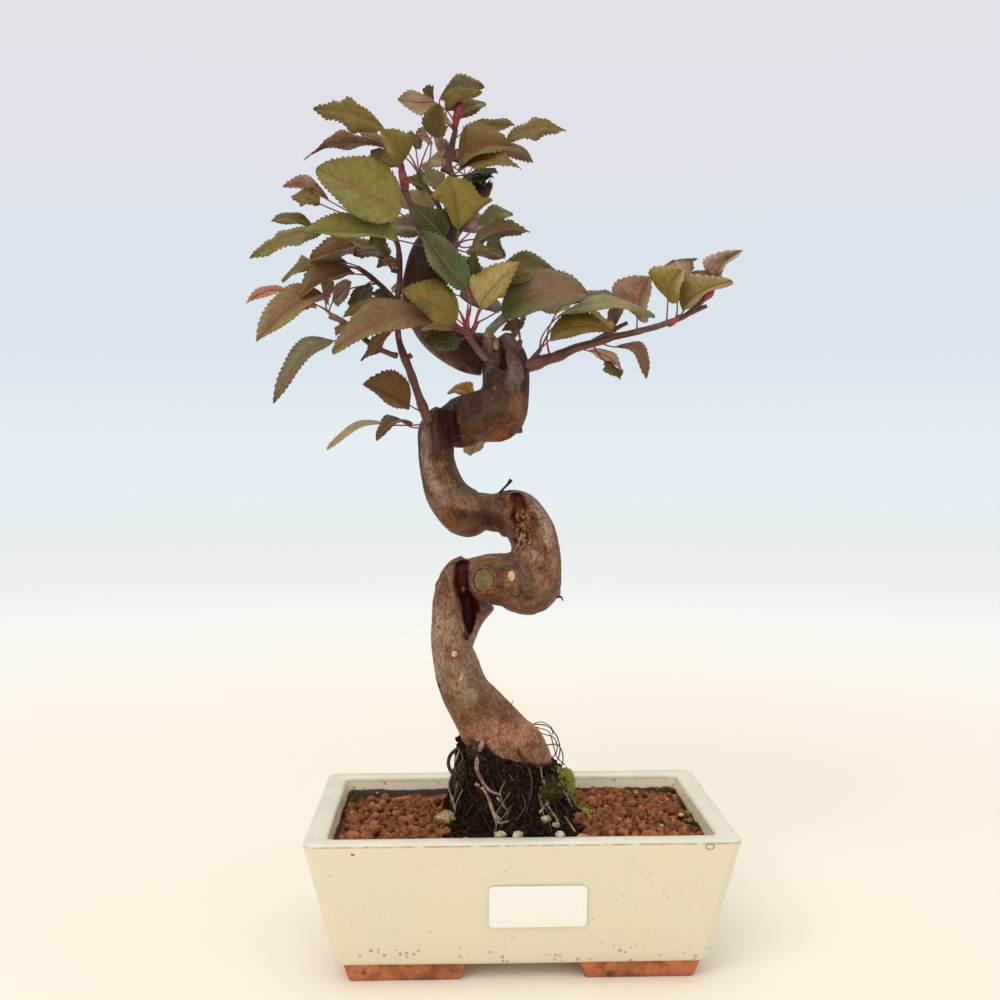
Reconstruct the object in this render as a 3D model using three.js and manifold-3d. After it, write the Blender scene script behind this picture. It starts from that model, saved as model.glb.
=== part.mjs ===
// An apple bonsai with a twice coiled trunk, in its glazed stoneware pot with four bare clay feet.
// Millimetres, +Z up. The pot stands on Z = 0 and its long side runs along X.
import * as THREE from "three";
import { mergeVertices } from "three/addons/utils/BufferGeometryUtils.js";
import Module from "manifold-3d";

const wasm = await Module();
wasm.setup();

// Driving sizes
const pot = {
  width: 224, depth: 144, height: 76, rim: 11.7, taper: 13.2, endTaper: 15.2, corner: 6, footHeight: 9.7,
  floor: 18, edge: 1.6, bottomEdge: 4, cornerSteps: 3,
};
const foot = { inner: 28, length: 63.5, width: 34, inset: 1.5, endSlope: 6, sink: 3 };
const drain = {
  radius: 8, across: 55, mesh: 30, meshThickness: 0.8, window: 3, windowAcross: 8, windowAlong: 6.4,
  wire: 0.6, wireHole: 1.1, wireReach: 1.2, wireSpan: 12, room: 4,
};
const label = { width: 50, height: 23, thickness: 0.5, corner: 2.5, across: 7.4, middle: 41.6, off: 0.15 };
const soil = { top: 70.5, bottom: 15.8, granule: 3.4, step: 9, edgeDrop: 3.4, edgeWidth: 14 };
const mound = {
  across: -3.5, depth: 2, radius: 40, draw: 13, narrow: 3.5, top: 107, tilt: 7, bottom: 52, ground: 71,
  lump: 1.6, rings: 4, sides: 14,
};
const rootTaper = 0.12;
const pebble = { across: 0.53, depth: 0.48, height: 0.4 };
const leafBlade = { thickness: 0.65, tooth: 0.1, teethBySize: [[17, 4], [14, 3], [0, 2]] };
const stalk = { radius: 0.75 };
const wood = { trunkSides: 10, trunkStep: 11, shootSides: 4, shootStep: 14 };
const gap = 0.35;

// The tree is set out as it is seen from its front. A point is [across, down, depth]: the first two are
// thousandths of the square field of view, and depth is in millimetres behind the middle of the pot.
const eye = { x: -35.3, y: -696.2, z: 273, turn: 0.037, pitch: 0.039, focal: 1260, middle: 500 };
const ahead = new THREE.Vector3(
  Math.sin(eye.turn) * Math.cos(eye.pitch),
  Math.cos(eye.turn) * Math.cos(eye.pitch),
  -Math.sin(eye.pitch),
);
const rightward = new THREE.Vector3(Math.cos(eye.turn), -Math.sin(eye.turn), 0);
const upward = new THREE.Vector3().crossVectors(rightward, ahead);
const eyePoint = new THREE.Vector3(eye.x, eye.y, eye.z);

// The line of sight through a point of the field of view
function sight(across, down) {
  return ahead.clone()
    .addScaledVector(rightward, (across - eye.middle) / eye.focal)
    .addScaledVector(upward, (eye.middle - down) / eye.focal);
}

function place([across, down, depth]) {
  const ray = sight(across, down);
  return eyePoint.clone().addScaledVector(ray, (depth - eye.y) / ray.y);
}

// A length across the field of view, as it is at a point in space
function spanAt(length, point) {
  return length / eye.focal * point.clone().sub(eyePoint).dot(ahead);
}

// Wood: [across, down, depth, radius], thickest end first. Each bend starts behind the one below it.
const trunkBends = {
  foot: [[511, 788, 5, 41], [507, 762, 3, 43], [486, 721, 0, 30.5], [466, 693, -3, 25], [456.5, 667, -4, 23],
    [450.5, 642, -4, 19.5], [448, 615, -1, 16.5], [450, 592, 1, 15], [457, 574, 3, 14.5], [468, 567, 5, 14]],
  ridge: [[500, 722, 0, 10], [521, 734, -2, 15], [530, 766, -3, 20]],
  web: [[460, 655, 2, 9], [466, 634, 5, 11], [472, 616, 6, 14], [481, 600, 5, 17]],
  lowRight: [[466, 573, 8, 15], [484, 578, -1, 24.5], [510, 580, -9, 27], [532, 586, -11, 28],
    [538, 563, -9, 23.5], [535, 545, -5, 23.5], [529, 528, 0, 23.5], [515, 512, 5, 20]],
  lowLeft: [[515, 512, 5, 22.5], [496, 513, 10, 19.5], [484, 512, 9, 19], [468, 513, 6, 24.5],
    [453.5, 502, 1, 22.5], [445, 489, -2, 20.7], [437.5, 465, -4, 18.6], [435.5, 450, -3, 17.8],
    [437, 431, 1, 18.5], [447, 419, 5, 18]],
  midRight: [[440, 428, 8, 17], [457, 424, 9, 25], [472, 418.5, 5, 25.5], [488, 415, -1, 27],
    [499, 412, -6, 28], [505, 393, -5, 24], [506, 375, -3, 23.5], [505, 358, 0, 22], [501, 347, 1, 17],
    [497, 339, 1, 12]],
  stub: [[499, 356, -2, 11], [490, 343, -6, 9], [486, 333, -8, 7]],
  callus: [[505, 352, 0, 13], [507, 341, 1, 9], [503, 334, 1, 5]],
  crown: [[485, 355, 15, 21.5], [462, 350, 15, 20], [440, 334, 12, 20.5], [428, 312, 7, 22],
    [425, 287, 2, 23], [428, 263, 0, 21], [437, 241, 3, 17.5], [452, 222, 9, 15], [468, 205, 10, 13.5],
    [478, 191, 8, 12.5], [482, 184, 7, 11]],
  knob: [[444, 586, 2, 6], [437.5, 585, 0, 4]],
  hip: [[552, 590, -8, 10], [559, 597, -8, 4]],
};
const rotHollow = [520, 507, -8, 9];

// Roots leave the foot of the trunk and lie on the mound: radius, start, then [across, down] marks
const surfaceRoots = [
  [2.8, [484, 740, -4], [477, 764], [482, 779], [490, 790], [501, 795]],
  [2.1, [508, 786, 4], [487, 794], [497, 821], [508, 822]],
  [2.1, [508, 786, 4], [560, 785], [550, 800], [539, 813]],
  [2.4, [484, 750, 4], [464, 766], [459, 778], [464, 791]],
  [1.8, [518, 750, 0], [529, 771], [531, 790], [526, 812]],
];

// Leafy shoots. wood is [across, down, depth, radius]. A leaf is its root on the shoot, the base, middle and
// tip of its midrib, then [above, below, full] half widths as seen and in truth, and its face and outline.
const shoots = {
  apex: {
    wood: [[[468, 206, 9, 4], [458, 184, 3, 3.4], [449, 167, 0, 3.2], [452, 148, -1, 3], [456, 129, -2, 2.4]],
      [[450, 172, 0, 2.6], [442, 167, -1, 3]],
      [[455, 130, -2, 2.4], [457, 118, -3, 4], [460, 109, -4, 4.4], [462, 103, -4, 2]]],
    leaves: [
      ["oval", [454, 128], [440, 99, 2], [461, 87, -3], [484, 86, -8], 9, 9, 12, "top"],
      ["oval", [453, 130], [446, 112, -5], [459, 99, -9], [482, 92, -12], 9, 6, 12, "under"],
      ["lobed", [452, 131], [434, 102, 3], [416, 104, 7], [399, 100, 11], 5, 11, 12, "under"],
      ["oval", [452, 133], [433, 101, 9], [427, 95, 12], [424, 88, 15], 6, 6, 8, "under"],
      ["oval", [456, 125], [455, 120, 3], [471, 107, 6], [486, 104, 9], 7, 7, 11, "top"],
      ["oval", [443, 168], [440, 152, 5], [439, 139, 8], [447, 126, 10], 5, 5, 8, "under"],
      ["oval", [452, 150], [446, 140, 12], [450, 150, 16], [444, 158, 20], 5, 5, 9, "top"],
      ["round", [452, 168], [459, 163, -8], [480, 146, -14], [513, 147, -18], 19, 10, 21, "top"],
      ["lobed", [451, 172], [458, 172, -12], [486, 160, -20], [521, 169, -26], 9, 8, 15, "top"],
      ["oval", [452, 160], [490, 151, -2], [514, 149, -2], [533, 163, -2], 3, 9, 12, "top"],
      ["lobed", [453, 150], [506, 141, 5], [535, 129, 7], [566, 131, 9], 7, 9, 12, "top"],
      ["oval", [453, 142], [465, 132, 12], [490, 125, 16], [515, 126, 19], 5, 5, 11, "under"],
      ["oval", [452, 176], [470, 174, -4], [485, 171, -7], [498, 174, -10], 2, 3, 9, "top"],
      ["oval", [456, 180], [460, 182, -2], [477, 176, -4], [494, 178, -6], 3, 5, 10, "top"],
    ],
  },
  spur: {
    wood: [[[446, 226, 6, 3], [438, 205, 5, 2.6], [427, 188, 4, 2.4], [418, 172, 3, 3]]],
    leaves: [
      ["lobed", [416, 172], [384, 129, 1], [350, 115, -4], [313, 111, -10], 15, 11, 17, "top"],
      ["oval", [417, 172], [385, 142, 9], [372, 137, 13], [360, 134, 18], 5, 6, 10, "under"],
      ["round", [421, 172], [432, 136, -12], [438, 121, -16], [440, 104, -20], 12, 9, 15, "top"],
      ["oval", [421, 172], [431, 142, 14], [424, 136, 18], [415, 136, 22], 5, 5, 8, "under"],
      ["oval", [418, 172], [416, 150, 12], [414, 140, 15], [411, 131, 18], 5, 5, 8, "top"],
      ["oval", [430, 192], [428, 190, -2], [417, 183, -4], [404, 179, -6], 5, 5, 10, "top"],
      ["oval", [430, 192], [444, 190, -6], [433, 180, -8], [421, 173, -10], 8, 8, 11, "top"],
    ],
  },
  topLeft: {
    wood: [[[440, 268, -4, 3.6], [425, 240, -9, 3.4], [411, 208, -12, 3.2], [403, 186, -13, 3],
      [403, 172, -13, 2.8]]],
    leaves: [
      ["oval", [403, 178], [392, 150, -4], [345, 143, -8], [304, 160, -14], 7, 6, 14, "under"],
      ["round", [403, 176], [402, 163, -16], [397, 147, -21], [380, 131, -26], 14, 10, 18, "top"],
      ["oval", [404, 180], [397, 166, 4], [384, 158, 8], [371, 151, 12], 8, 7, 11, "top"],
      ["round", [423, 241], [400, 213, -20], [358, 189, -26], [316, 169, -32], 27, 22, 30, "top"],
      ["round", [428, 250], [397, 240, -24], [350, 234, -32], [303, 234, -38], 18, 3, 22, "top"],
    ],
  },
  left: {
    wood: [[[432, 428, -3, 6], [420, 398, -9, 4.2], [412, 376, -11, 3.8], [404, 358, -12, 4.2],
      [399, 338, -11, 3.1], [398, 300, -8, 3], [400, 270, -6, 2.8], [398, 246, -5, 2.6], [391, 230, -4, 2.4],
      [386, 220, -4, 2.2]],
      [[399, 304, -8, 3], [385, 289, -2, 2.7], [371, 277, 3, 2.5], [358, 268, 7, 2.2]],
      [[400, 272, -6, 2.4], [392, 270, -8, 2.6]],
      [[406, 359, -12, 3], [412, 355, -12, 2.6]]],
    leaves: [
      ["lobed", [388, 224], [320, 204, 3], [306, 197, 5], [291, 197, 7], 7, 9, 13, "top"],
      ["oval", [388, 224], [328, 200, 10], [308, 188, 13], [283, 186, 17], 7, 5, 12, "under"],
      ["oval", [388, 226], [312, 225, 6], [292, 219, 3], [271, 222, 0], 5, 5, 11, "top"],
      ["lobed", [390, 230], [324, 231, -14], [288, 238, -19], [250, 259, -25], 8, 9, 14, "top"],
      ["round", [392, 269], [356, 247, -10], [335, 252, -14], [310, 260, -18], 13, 2, 16, "top"],
      ["oval", [392, 270], [357, 251, -5], [335, 256, -7], [311, 263, -9], 3, 4, 10, "top"],
      ["oval", [360, 269], [322, 263, 8], [300, 268, 9], [282, 282, 11], 4, 4, 10, "top"],
      ["lobed", [360, 269], [318, 263, 14], [308, 262, 17], [298, 261, 20], 3, 7, 9, "under"],
      ["oval", [362, 270], [347, 263, 2], [329, 266, -1], [311, 273, -3], 7, 6, 11, "top"],
      ["round", [372, 279], [354, 274, -8], [327, 280, -14], [300, 297, -19], 16, 4, 18, "top"],
      ["round", [376, 284], [323, 294, -14], [292, 308, -20], [257, 342, -27], 16, 9, 20, "top"],
      ["oval", [374, 282], [366, 285, 0], [360, 296, -5], [355, 312, -9], 7, 9, 13, "top"],
      ["oval", [397, 303], [392, 303, -4], [383, 296, -6], [371, 294, -7], 5, 6, 10, "top"],
      ["oval", [398, 306], [394, 306, 2], [387, 308, 4], [378, 305, 7], 3, 4, 8, "under"],
      ["oval", [395, 271], [400, 264, 4], [390, 262, 8], [377, 267, 11], 6, 6, 10, "under"],
      ["oval", [392, 269], [384, 257, -9], [371, 252, -12], [353, 256, -15], 3, 6, 11, "top"],
      ["oval", [393, 268], [386, 258, 0], [379, 246, 2], [373, 233, 4], 7, 7, 10, "top"],
      ["oval", [392, 268], [371, 251, 6], [358, 244, 8], [345, 239, 11], 6, 6, 10, "top"],
      ["oval", [399, 304], [394, 303, -12], [371, 303, -20], [343, 318, -27], 4, 7, 13, "top"],
      ["oval", [400, 340], [392, 331, -24], [378, 345, -29], [361, 361, -33], 5, 5, 12, "under"],
      ["round", [424, 415], [409, 405, -15], [388, 393, -21], [363, 385, -26], 19, 9, 22, "top"],
      ["oval", [426, 422], [390, 425, -14], [360, 427, -22], [327, 450, -30], 3, 3, 13, "top"],
      ["oval", [425, 419], [411, 427, -20], [395, 422, -27], [376, 440, -34], 5, 4, 13, "top"],
    ],
  },
  fork: {
    wood: [[[397, 356, -16, 2.8], [390, 354, -18, 2.8], [374, 346, -21, 2.6], [357, 333, -25, 2.5],
      [344, 322, -27, 3], [330, 315, -29, 3]]],
    leaves: [
      ["oval", [357, 334], [334, 341, -31], [303, 356, -34], [274, 404, -38], 10, 7, 14, "top"],
      ["oval", [330, 314], [291, 293, -2], [268, 291, 0], [246, 304, 2], 4, 4, 10, "under"],
      ["oval", [331, 313], [316, 305, -14], [303, 305, -10], [289, 309, -7], 3, 5, 9, "under"],
      ["oval", [332, 313], [325, 300, -8], [328, 290, 2], [334, 281, 10], 6, 6, 10, "under"],
      ["oval", [334, 313], [333, 301, -4], [342, 292, 5], [352, 282, 13], 7, 7, 10, "under"],
      ["oval", [350, 327], [352, 325, -28], [345, 329, -30], [336, 336, -32], 5, 4, 9, "top"],
    ],
  },
  heart: {
    wood: [[[432, 252, 0, 4], [449, 251, -11, 3.2], [459, 243, -16, 2.6]]],
    leaves: [
      ["lobed", [459, 243], [458, 230, -21], [456, 205, -26], [447, 176, -30], 20, 17, 24, "top"],
      ["round", [456, 248], [444, 239, -17], [430, 222, -18], [410, 204, -17], 12, 12, 16, "top"],
      ["lobed", [459, 247], [472, 246, -19], [499, 231, -21], [530, 233, -23], 12, 7, 15, "under"],
      ["oval", [459, 246], [478, 225, -12], [495, 214, -12], [513, 214, -12], 6, 8, 11, "top"],
      ["oval", [458, 249], [487, 240, -8], [497, 247, -6], [504, 258, -4], 5, 7, 9, "top"],
      ["oval", [457, 251], [466, 252, -15], [485, 253, -15], [505, 259, -15], 6, 5, 10, "under"],
    ],
  },
  cluster: {
    wood: [[[498, 363, -4, 4], [485, 357, -13, 3.6], [474, 344, -16, 3.2], [468, 333, -19, 3.6],
      [466, 322, -21, 3.2]],
      [[470, 336, -18, 2.4], [477, 322, -20, 2.6]]],
    leaves: [
      ["oval", [467, 322], [467, 289, -24], [444, 262, -29], [421, 231, -33], 14, 12, 18, "top"],
      ["oval", [468, 324], [471, 288, -16], [474, 271, -18], [474, 252, -20], 8, 8, 12, "top"],
      ["shoulder", [476, 323], [480, 307, -26], [495, 286, -30], [521, 262, -34], 16, 10, 19, "top"],
      ["oval", [476, 326], [494, 286, -14], [525, 269, -16], [556, 271, -18], 13, 11, 18, "top"],
      ["round", [477, 323], [501, 310, -22], [545, 292, -28], [588, 294, -33], 20, 17, 25, "top"],
      ["round", [467, 330], [457, 319, -28], [433, 302, -34], [403, 290, -38], 17, 15, 20, "top"],
      ["oval", [468, 336], [460, 340, -24], [443, 343, -27], [424, 342, -30], 8, 9, 13, "top"],
      ["oval", [467, 334], [455, 330, -24], [440, 325, -26], [421, 330, -28], 4, 5, 8, "under"],
      ["round", [468, 328], [432, 321, -30], [381, 320, -36], [332, 353, -42], 15, 13, 21, "top"],
    ],
  },
  rightSpur: {
    wood: [[[510, 359, -5, 2.8], [518, 348, -14, 2.4], [520, 340, -16, 2.2]]],
    leaves: [
      ["lobed", [520, 342], [518, 334, -17], [511, 330, -19], [502, 330, -21], 8, 3, 10, "top"],
      ["oval", [520, 342], [519, 330, -13], [516, 323, -12], [513, 315, -11], 5, 5, 8, "top"],
    ],
  },
  right: {
    wood: [[[524, 367, -6, 6.6], [550, 359, -9, 5.4], [575, 349, -12, 4.5], [600, 341, -15, 3.8],
      [630, 333, -18, 3.2], [660, 325, -21, 3], [682, 317, -23, 2.8], [698, 305, -25, 2.8],
      [712, 291, -26, 2.4]],
      [[588, 344, -14, 2.6], [610, 332, -10, 2.4], [627, 323, -7, 2]],
      [[690, 313, -24, 2.4], [707, 306, -26, 2]],
      [[527, 366, -7, 3], [541, 349, -10, 2.2]]],
    leaves: [
      ["oval", [542, 350], [558, 317, -24], [606, 304, -30], [655, 317, -36], 5, 6, 15, "top"],
      ["oval", [548, 357], [562, 305, -12], [591, 297, -12], [622, 299, -12], 4, 3, 13, "top"],
      ["oval", [541, 350], [584, 300, -2], [599, 295, 0], [612, 294, 2], 4, 3, 8, "top"],
      ["round", [541, 351], [550, 340, -27], [577, 326, -30], [611, 331, -33], 13, 8, 18, "top"],
      ["oval", [613, 338], [612, 331, -18], [601, 322, -21], [590, 311, -24], 4, 4, 10, "under"],
      ["round", [636, 330], [637, 316, -14], [636, 295, -9], [647, 274, -4], 17, 14, 20, "under"],
      ["lobed", [667, 322], [668, 299, -24], [676, 284, -28], [692, 273, -32], 17, 6, 19, "top"],
      ["forked", [675, 318], [677, 294, -14], [675, 278, -10], [675, 263, -6], 13, 13, 15, "under"],
      ["round", [672, 321], [684, 310, -27], [699, 292, -31], [730, 282, -35], 11, 5, 17, "top"],
      ["lobed", [712, 291], [718, 279, -24], [723, 266, -23], [743, 251, -22], 10, 2, 13, "top"],
      ["oval", [711, 291], [713, 277, -20], [703, 274, -17], [692, 274, -14], 3, 3, 8, "top"],
      ["oval", [601, 341], [615, 347, -17], [637, 351, -20], [646, 379, -23], 6, 6, 13, "top"],
      ["oval", [580, 348], [589, 351, -6], [606, 356, -3], [621, 369, 0], 5, 4, 10, "under"],
      ["lobed", [594, 344], [605, 362, -18], [613, 370, -21], [620, 380, -24], 5, 7, 11, "top"],
      ["oval", [615, 338], [615, 325, -8], [613, 315, -3], [612, 303, 2], 8, 7, 12, "under"],
    ],
  },
  rearLow: {
    wood: [[[428, 300, 14, 3.6], [438, 294, 30, 3], [448, 288, 46, 2.4]]],
    leaves: [
      ["oval", [440, 293], [430, 288, 46], [410, 284, 58], [392, 290, 70], 12, 10, 17, "top"],
      ["oval", [446, 290], [452, 278, 54], [470, 268, 66], [488, 272, 78], 12, 10, 17, "top"],
      ["round", [448, 288], [448, 296, 58], [446, 306, 74], [440, 318, 88], 12, 12, 17, "top"],
      ["oval", [436, 295], [420, 302, 34], [398, 312, 42], [372, 320, 50], 9, 9, 16, "top"],
      ["oval", [444, 291], [460, 296, 48], [484, 300, 60], [500, 304, 70], 9, 9, 16, "top"],
      ["oval", [447, 288], [440, 276, 56], [436, 262, 68], [428, 252, 80], 12, 10, 17, "top"],
    ],
  },
  rearMid: {
    wood: [[[444, 232, 15, 3.6], [446, 236, 32, 3], [450, 238, 48, 2.4]]],
    leaves: [
      ["oval", [446, 236], [430, 232, 42], [404, 226, 52], [376, 228, 62], 10, 10, 17, "top"],
      ["oval", [450, 238], [462, 230, 56], [478, 224, 68], [496, 228, 80], 11, 10, 16, "top"],
      ["round", [450, 238], [448, 228, 58], [440, 218, 72], [430, 216, 86], 12, 12, 17, "top"],
      ["oval", [446, 236], [430, 214, 36], [414, 200, 44], [392, 190, 52], 10, 10, 16, "top"],
      ["oval", [450, 238], [455, 244, 60], [456, 246, 74], [452, 246, 88], 10, 10, 16, "top"],
    ],
  },
  rearTop: {
    wood: [[[474, 198, 14, 3.2], [470, 186, 26, 2.6], [466, 176, 38, 2.2]]],
    leaves: [
      ["oval", [466, 176], [474, 166, 44], [488, 156, 54], [500, 160, 64], 10, 10, 16, "top"],
      ["oval", [466, 176], [452, 166, 42], [436, 160, 52], [424, 166, 62], 8, 8, 15, "top"],
      ["oval", [467, 178], [464, 164, 46], [468, 152, 58], [476, 144, 70], 11, 10, 15, "top"],
      ["round", [468, 182], [470, 190, 44], [468, 200, 58], [462, 208, 72], 11, 11, 16, "top"],
    ],
  },
  rearRight: {
    wood: [[[492, 356, 17, 3.6], [511, 338, 25, 3], [524, 318, 36, 2.4]]],
    leaves: [
      ["oval", [524, 318], [532, 304, 42], [546, 294, 52], [562, 292, 62], 11, 11, 17, "top"],
      ["oval", [522, 320], [512, 300, 42], [500, 288, 52], [486, 284, 62], 10, 10, 16, "top"],
      ["round", [524, 318], [534, 306, 34], [552, 302, 36], [570, 306, 40], 8, 10, 16, "top"],
      ["oval", [518, 328], [508, 322, 44], [498, 322, 58], [486, 330, 70], 6, 8, 15, "top"],
    ],
  },
  rearShoot: {
    wood: [[[484, 413, 11, 3.2], [482, 414, 20, 2.8], [480, 416, 30, 2.2]]],
    leaves: [
      ["oval", [482, 414], [473, 398, 32], [461, 390, 35], [447, 394, 38], 6, 6, 13, "top"],
      ["oval", [480, 416], [479, 436, 33], [475, 446, 37], [471, 456, 41], 8, 8, 13, "under"],
    ],
  },
};

// Pebbles on the soil round the mound: [across, down], radius across, colour
const pebbles = [
  [[446, 821], 9, 0xb9ab5c], [[500, 836], 6, 0xd8c09a], [[517, 836], 6, 0xe6ded0], [[465, 842], 5, 0xe0b491],
  [[545, 820], 6, 0xd9cdb4], [[556, 826], 5, 0xcbbd98], [[561, 836], 6, 0xe4dccb], [[583, 838], 5, 0xd7c7a6],
];
// Pads of moss: [across, down], then half width, half depth and half height in millimetres
const mossPads = {
  moss_bright: [[566, 787], 4.5, 12, 9],
  moss_dark: [[550, 796], 7, 8, 6],
};

// A closed solid through rings of points, with the same number of points in each
function loft(rings) {
  const sides = rings[0].length;
  const points = rings.flat();
  const index = [];
  for (let r = 0; r + 1 < rings.length; r++)
    for (let s = 0; s < sides; s++) {
      const a = r * sides + s, b = r * sides + (s + 1) % sides;
      index.push(a, b, b + sides, a, b + sides, a + sides);
    }
  const last = (rings.length - 1) * sides;
  for (let s = 1; s + 1 < sides; s++) index.push(0, s + 1, s, last, last + s, last + s + 1);
  return closed(points, index);
}

// A solid from points and faces, turned inside out when its faces point inwards
function closed(points, index) {
  const geometry = new THREE.BufferGeometry().setFromPoints(points);
  geometry.setIndex(index);
  return solid(geometry);
}

function solid(geometry) {
  const bare = new THREE.BufferGeometry().setAttribute("position", geometry.getAttribute("position"));
  bare.setIndex(geometry.index);
  const merged = mergeVertices(bare, 1e-4);
  const build = (faces) => new wasm.Manifold(new wasm.Mesh({
    numProp: 3,
    vertProperties: Float32Array.from(merged.attributes.position.array),
    triVerts: faces,
  }));
  const faces = Uint32Array.from(merged.index.array);
  const made = build(faces);
  return made.volume() < 0 ? build(faces.reverse()) : made;
}

const union = (solids) => wasm.Manifold.union(solids);

// The largest body that is left when the tools are cut away, without loose scraps
function cut(body, tools) {
  const parts = body.subtract(union(tools)).decompose();
  return parts.reduce((most, part) => part.volume() > most.volume() ? part : most);
}

function geometryOf(body) {
  const { vertProperties, triVerts } = body.getMesh();
  const geometry = new THREE.BufferGeometry();
  geometry.setAttribute("position", new THREE.BufferAttribute(Float32Array.from(vertProperties), 3));
  geometry.setIndex(new THREE.BufferAttribute(Uint32Array.from(triVerts), 1));
  geometry.computeVertexNormals();
  return geometry;
}

const tree = new THREE.Group();

function add(name, body, colour, roughness) {
  const surface = new THREE.MeshStandardMaterial({ color: colour, roughness, metalness: 0 });
  const mesh = new THREE.Mesh(geometryOf(body), surface);
  mesh.name = name;
  tree.add(mesh);
}

// A round limb along a smooth line through points, with a domed start and end
function limb(points, radii, sides, count, reach = 0) {
  const line = new THREE.CatmullRomCurve3(points, false, "centripetal");
  const frames = line.computeFrenetFrames(count, false);
  const domed = sides > 6;
  const rings = [];
  for (let i = 0; i <= count; i++) {
    const at = line.getPointAt(i / count);
    const spot = line.getUtoTmapping(i / count, 0) * (radii.length - 1);
    const low = Math.min(Math.floor(spot), radii.length - 2);
    const radius = THREE.MathUtils.lerp(radii[low], radii[low + 1], spot - low);
    // A ring of the limb, shifted along it and made smaller or larger
    const ring = (shift, scale) => Array.from({ length: sides }, (_, s) => {
      const angle = 2 * Math.PI * s / sides;
      return at.clone().addScaledVector(frames.tangents[i], shift)
        .addScaledVector(frames.normals[i], Math.cos(angle) * radius * scale)
        .addScaledVector(frames.binormals[i], Math.sin(angle) * radius * scale);
    });
    if (i === 0 && domed) rings.push(ring(-0.5 * radius, 0.7));
    rings.push(ring(0, 1));
    if (i === count && reach) rings.push(ring(reach, 1));
    if (i === count && domed) rings.push(ring(0.5 * radius, 0.7));
  }
  return loft(rings);
}

function woodLimb(table, sides, step, grow = 0) {
  const points = table.map(place);
  const length = points.slice(1).reduce((sum, p, i) => sum + p.distanceTo(points[i]), 0);
  return limb(points, table.map((row, i) => spanAt(row[3], points[i]) + grow), sides,
    Math.max(1, Math.round(length / step)));
}

// A rounded rectangle at a height
function roundedRing(halfX, halfY, corner, z) {
  const ring = [];
  for (let quarter = 0; quarter < 4; quarter++) {
    const x = (halfX - corner) * (quarter === 1 || quarter === 2 ? -1 : 1);
    const y = (halfY - corner) * (quarter > 1 ? -1 : 1);
    for (let step = 0; step <= pot.cornerSteps; step++) {
      const angle = (quarter + step / pot.cornerSteps) * Math.PI / 2;
      ring.push(new THREE.Vector3(x + corner * Math.cos(angle), y + corner * Math.sin(angle), z));
    }
  }
  return ring;
}

const leanAt = (z, taper = pot.taper) => taper * (pot.height - z) / (pot.height - pot.footHeight);

// The outer wall, and the hollow inside it, drawn in by inset
function potRing(inset, corner, z) {
  const halfX = pot.width / 2 - leanAt(z, pot.endTaper) - inset;
  return roundedRing(halfX, pot.depth / 2 - leanAt(z) - inset, corner, z);
}

function potHollow(inset, top) {
  return loft([
    potRing(pot.rim + inset + 6, pot.corner / 2, pot.floor + inset),
    potRing(pot.rim + inset, pot.corner / 2, pot.floor + inset + 6),
    potRing(pot.rim + inset, pot.corner / 2, top),
  ]);
}

const cornersOf = (x, y, halfX, halfY, z) =>
  [[-1, -1], [1, -1], [1, 1], [-1, 1]].map(([a, b]) => new THREE.Vector3(x + a * halfX, y + b * halfY, z));

function potFoot(sideX, sideY) {
  const x = foot.inner + foot.length / 2;
  const y = pot.depth / 2 - leanAt(pot.footHeight) - foot.inset - foot.width / 2;
  const block = (grow, z) =>
    cornersOf(sideX * x, sideY * y, foot.length / 2 + grow, foot.width / 2 + grow / 2, z);
  return loft([block(-foot.endSlope, 0), block(0, pot.footHeight), block(0, pot.footHeight + foot.sink)]);
}

function cylinder(radius, low, high, x, y, sides) {
  const ring = (z) => Array.from({ length: sides }, (_, s) => new THREE.Vector3(
    x + radius * Math.cos(2 * Math.PI * s / sides), y + radius * Math.sin(2 * Math.PI * s / sides), z));
  return loft([ring(low), ring(high)]);
}

function makePot() {
  const shell = loft([
    potRing(pot.bottomEdge, pot.corner, pot.footHeight),
    potRing(pot.bottomEdge * 0.3, pot.corner, pot.footHeight + pot.bottomEdge * 0.3),
    potRing(0, pot.corner, pot.footHeight + pot.bottomEdge),
    potRing(0, pot.corner, pot.height - pot.edge),
    potRing(pot.edge, pot.corner, pot.height),
  ]);
  const feet = [-1, 1].flatMap((x) => [-1, 1].map((y) => potFoot(x, y)));
  const hollow = potHollow(0, pot.height + 1);
  const bore = (radius, x, y, sides) => cylinder(radius, 0, pot.height, x, y, sides);
  const holes = [-1, 1].map((side) => side * drain.across).flatMap((x) => [
    bore(drain.radius, x, 0, 16),
    bore(drain.wireHole, x, -drain.wireSpan, 6),
    bore(drain.wireHole, x, drain.wireSpan, 6),
  ]);
  return cut(union([shell, ...feet]), [hollow, ...holes]);
}

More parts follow.
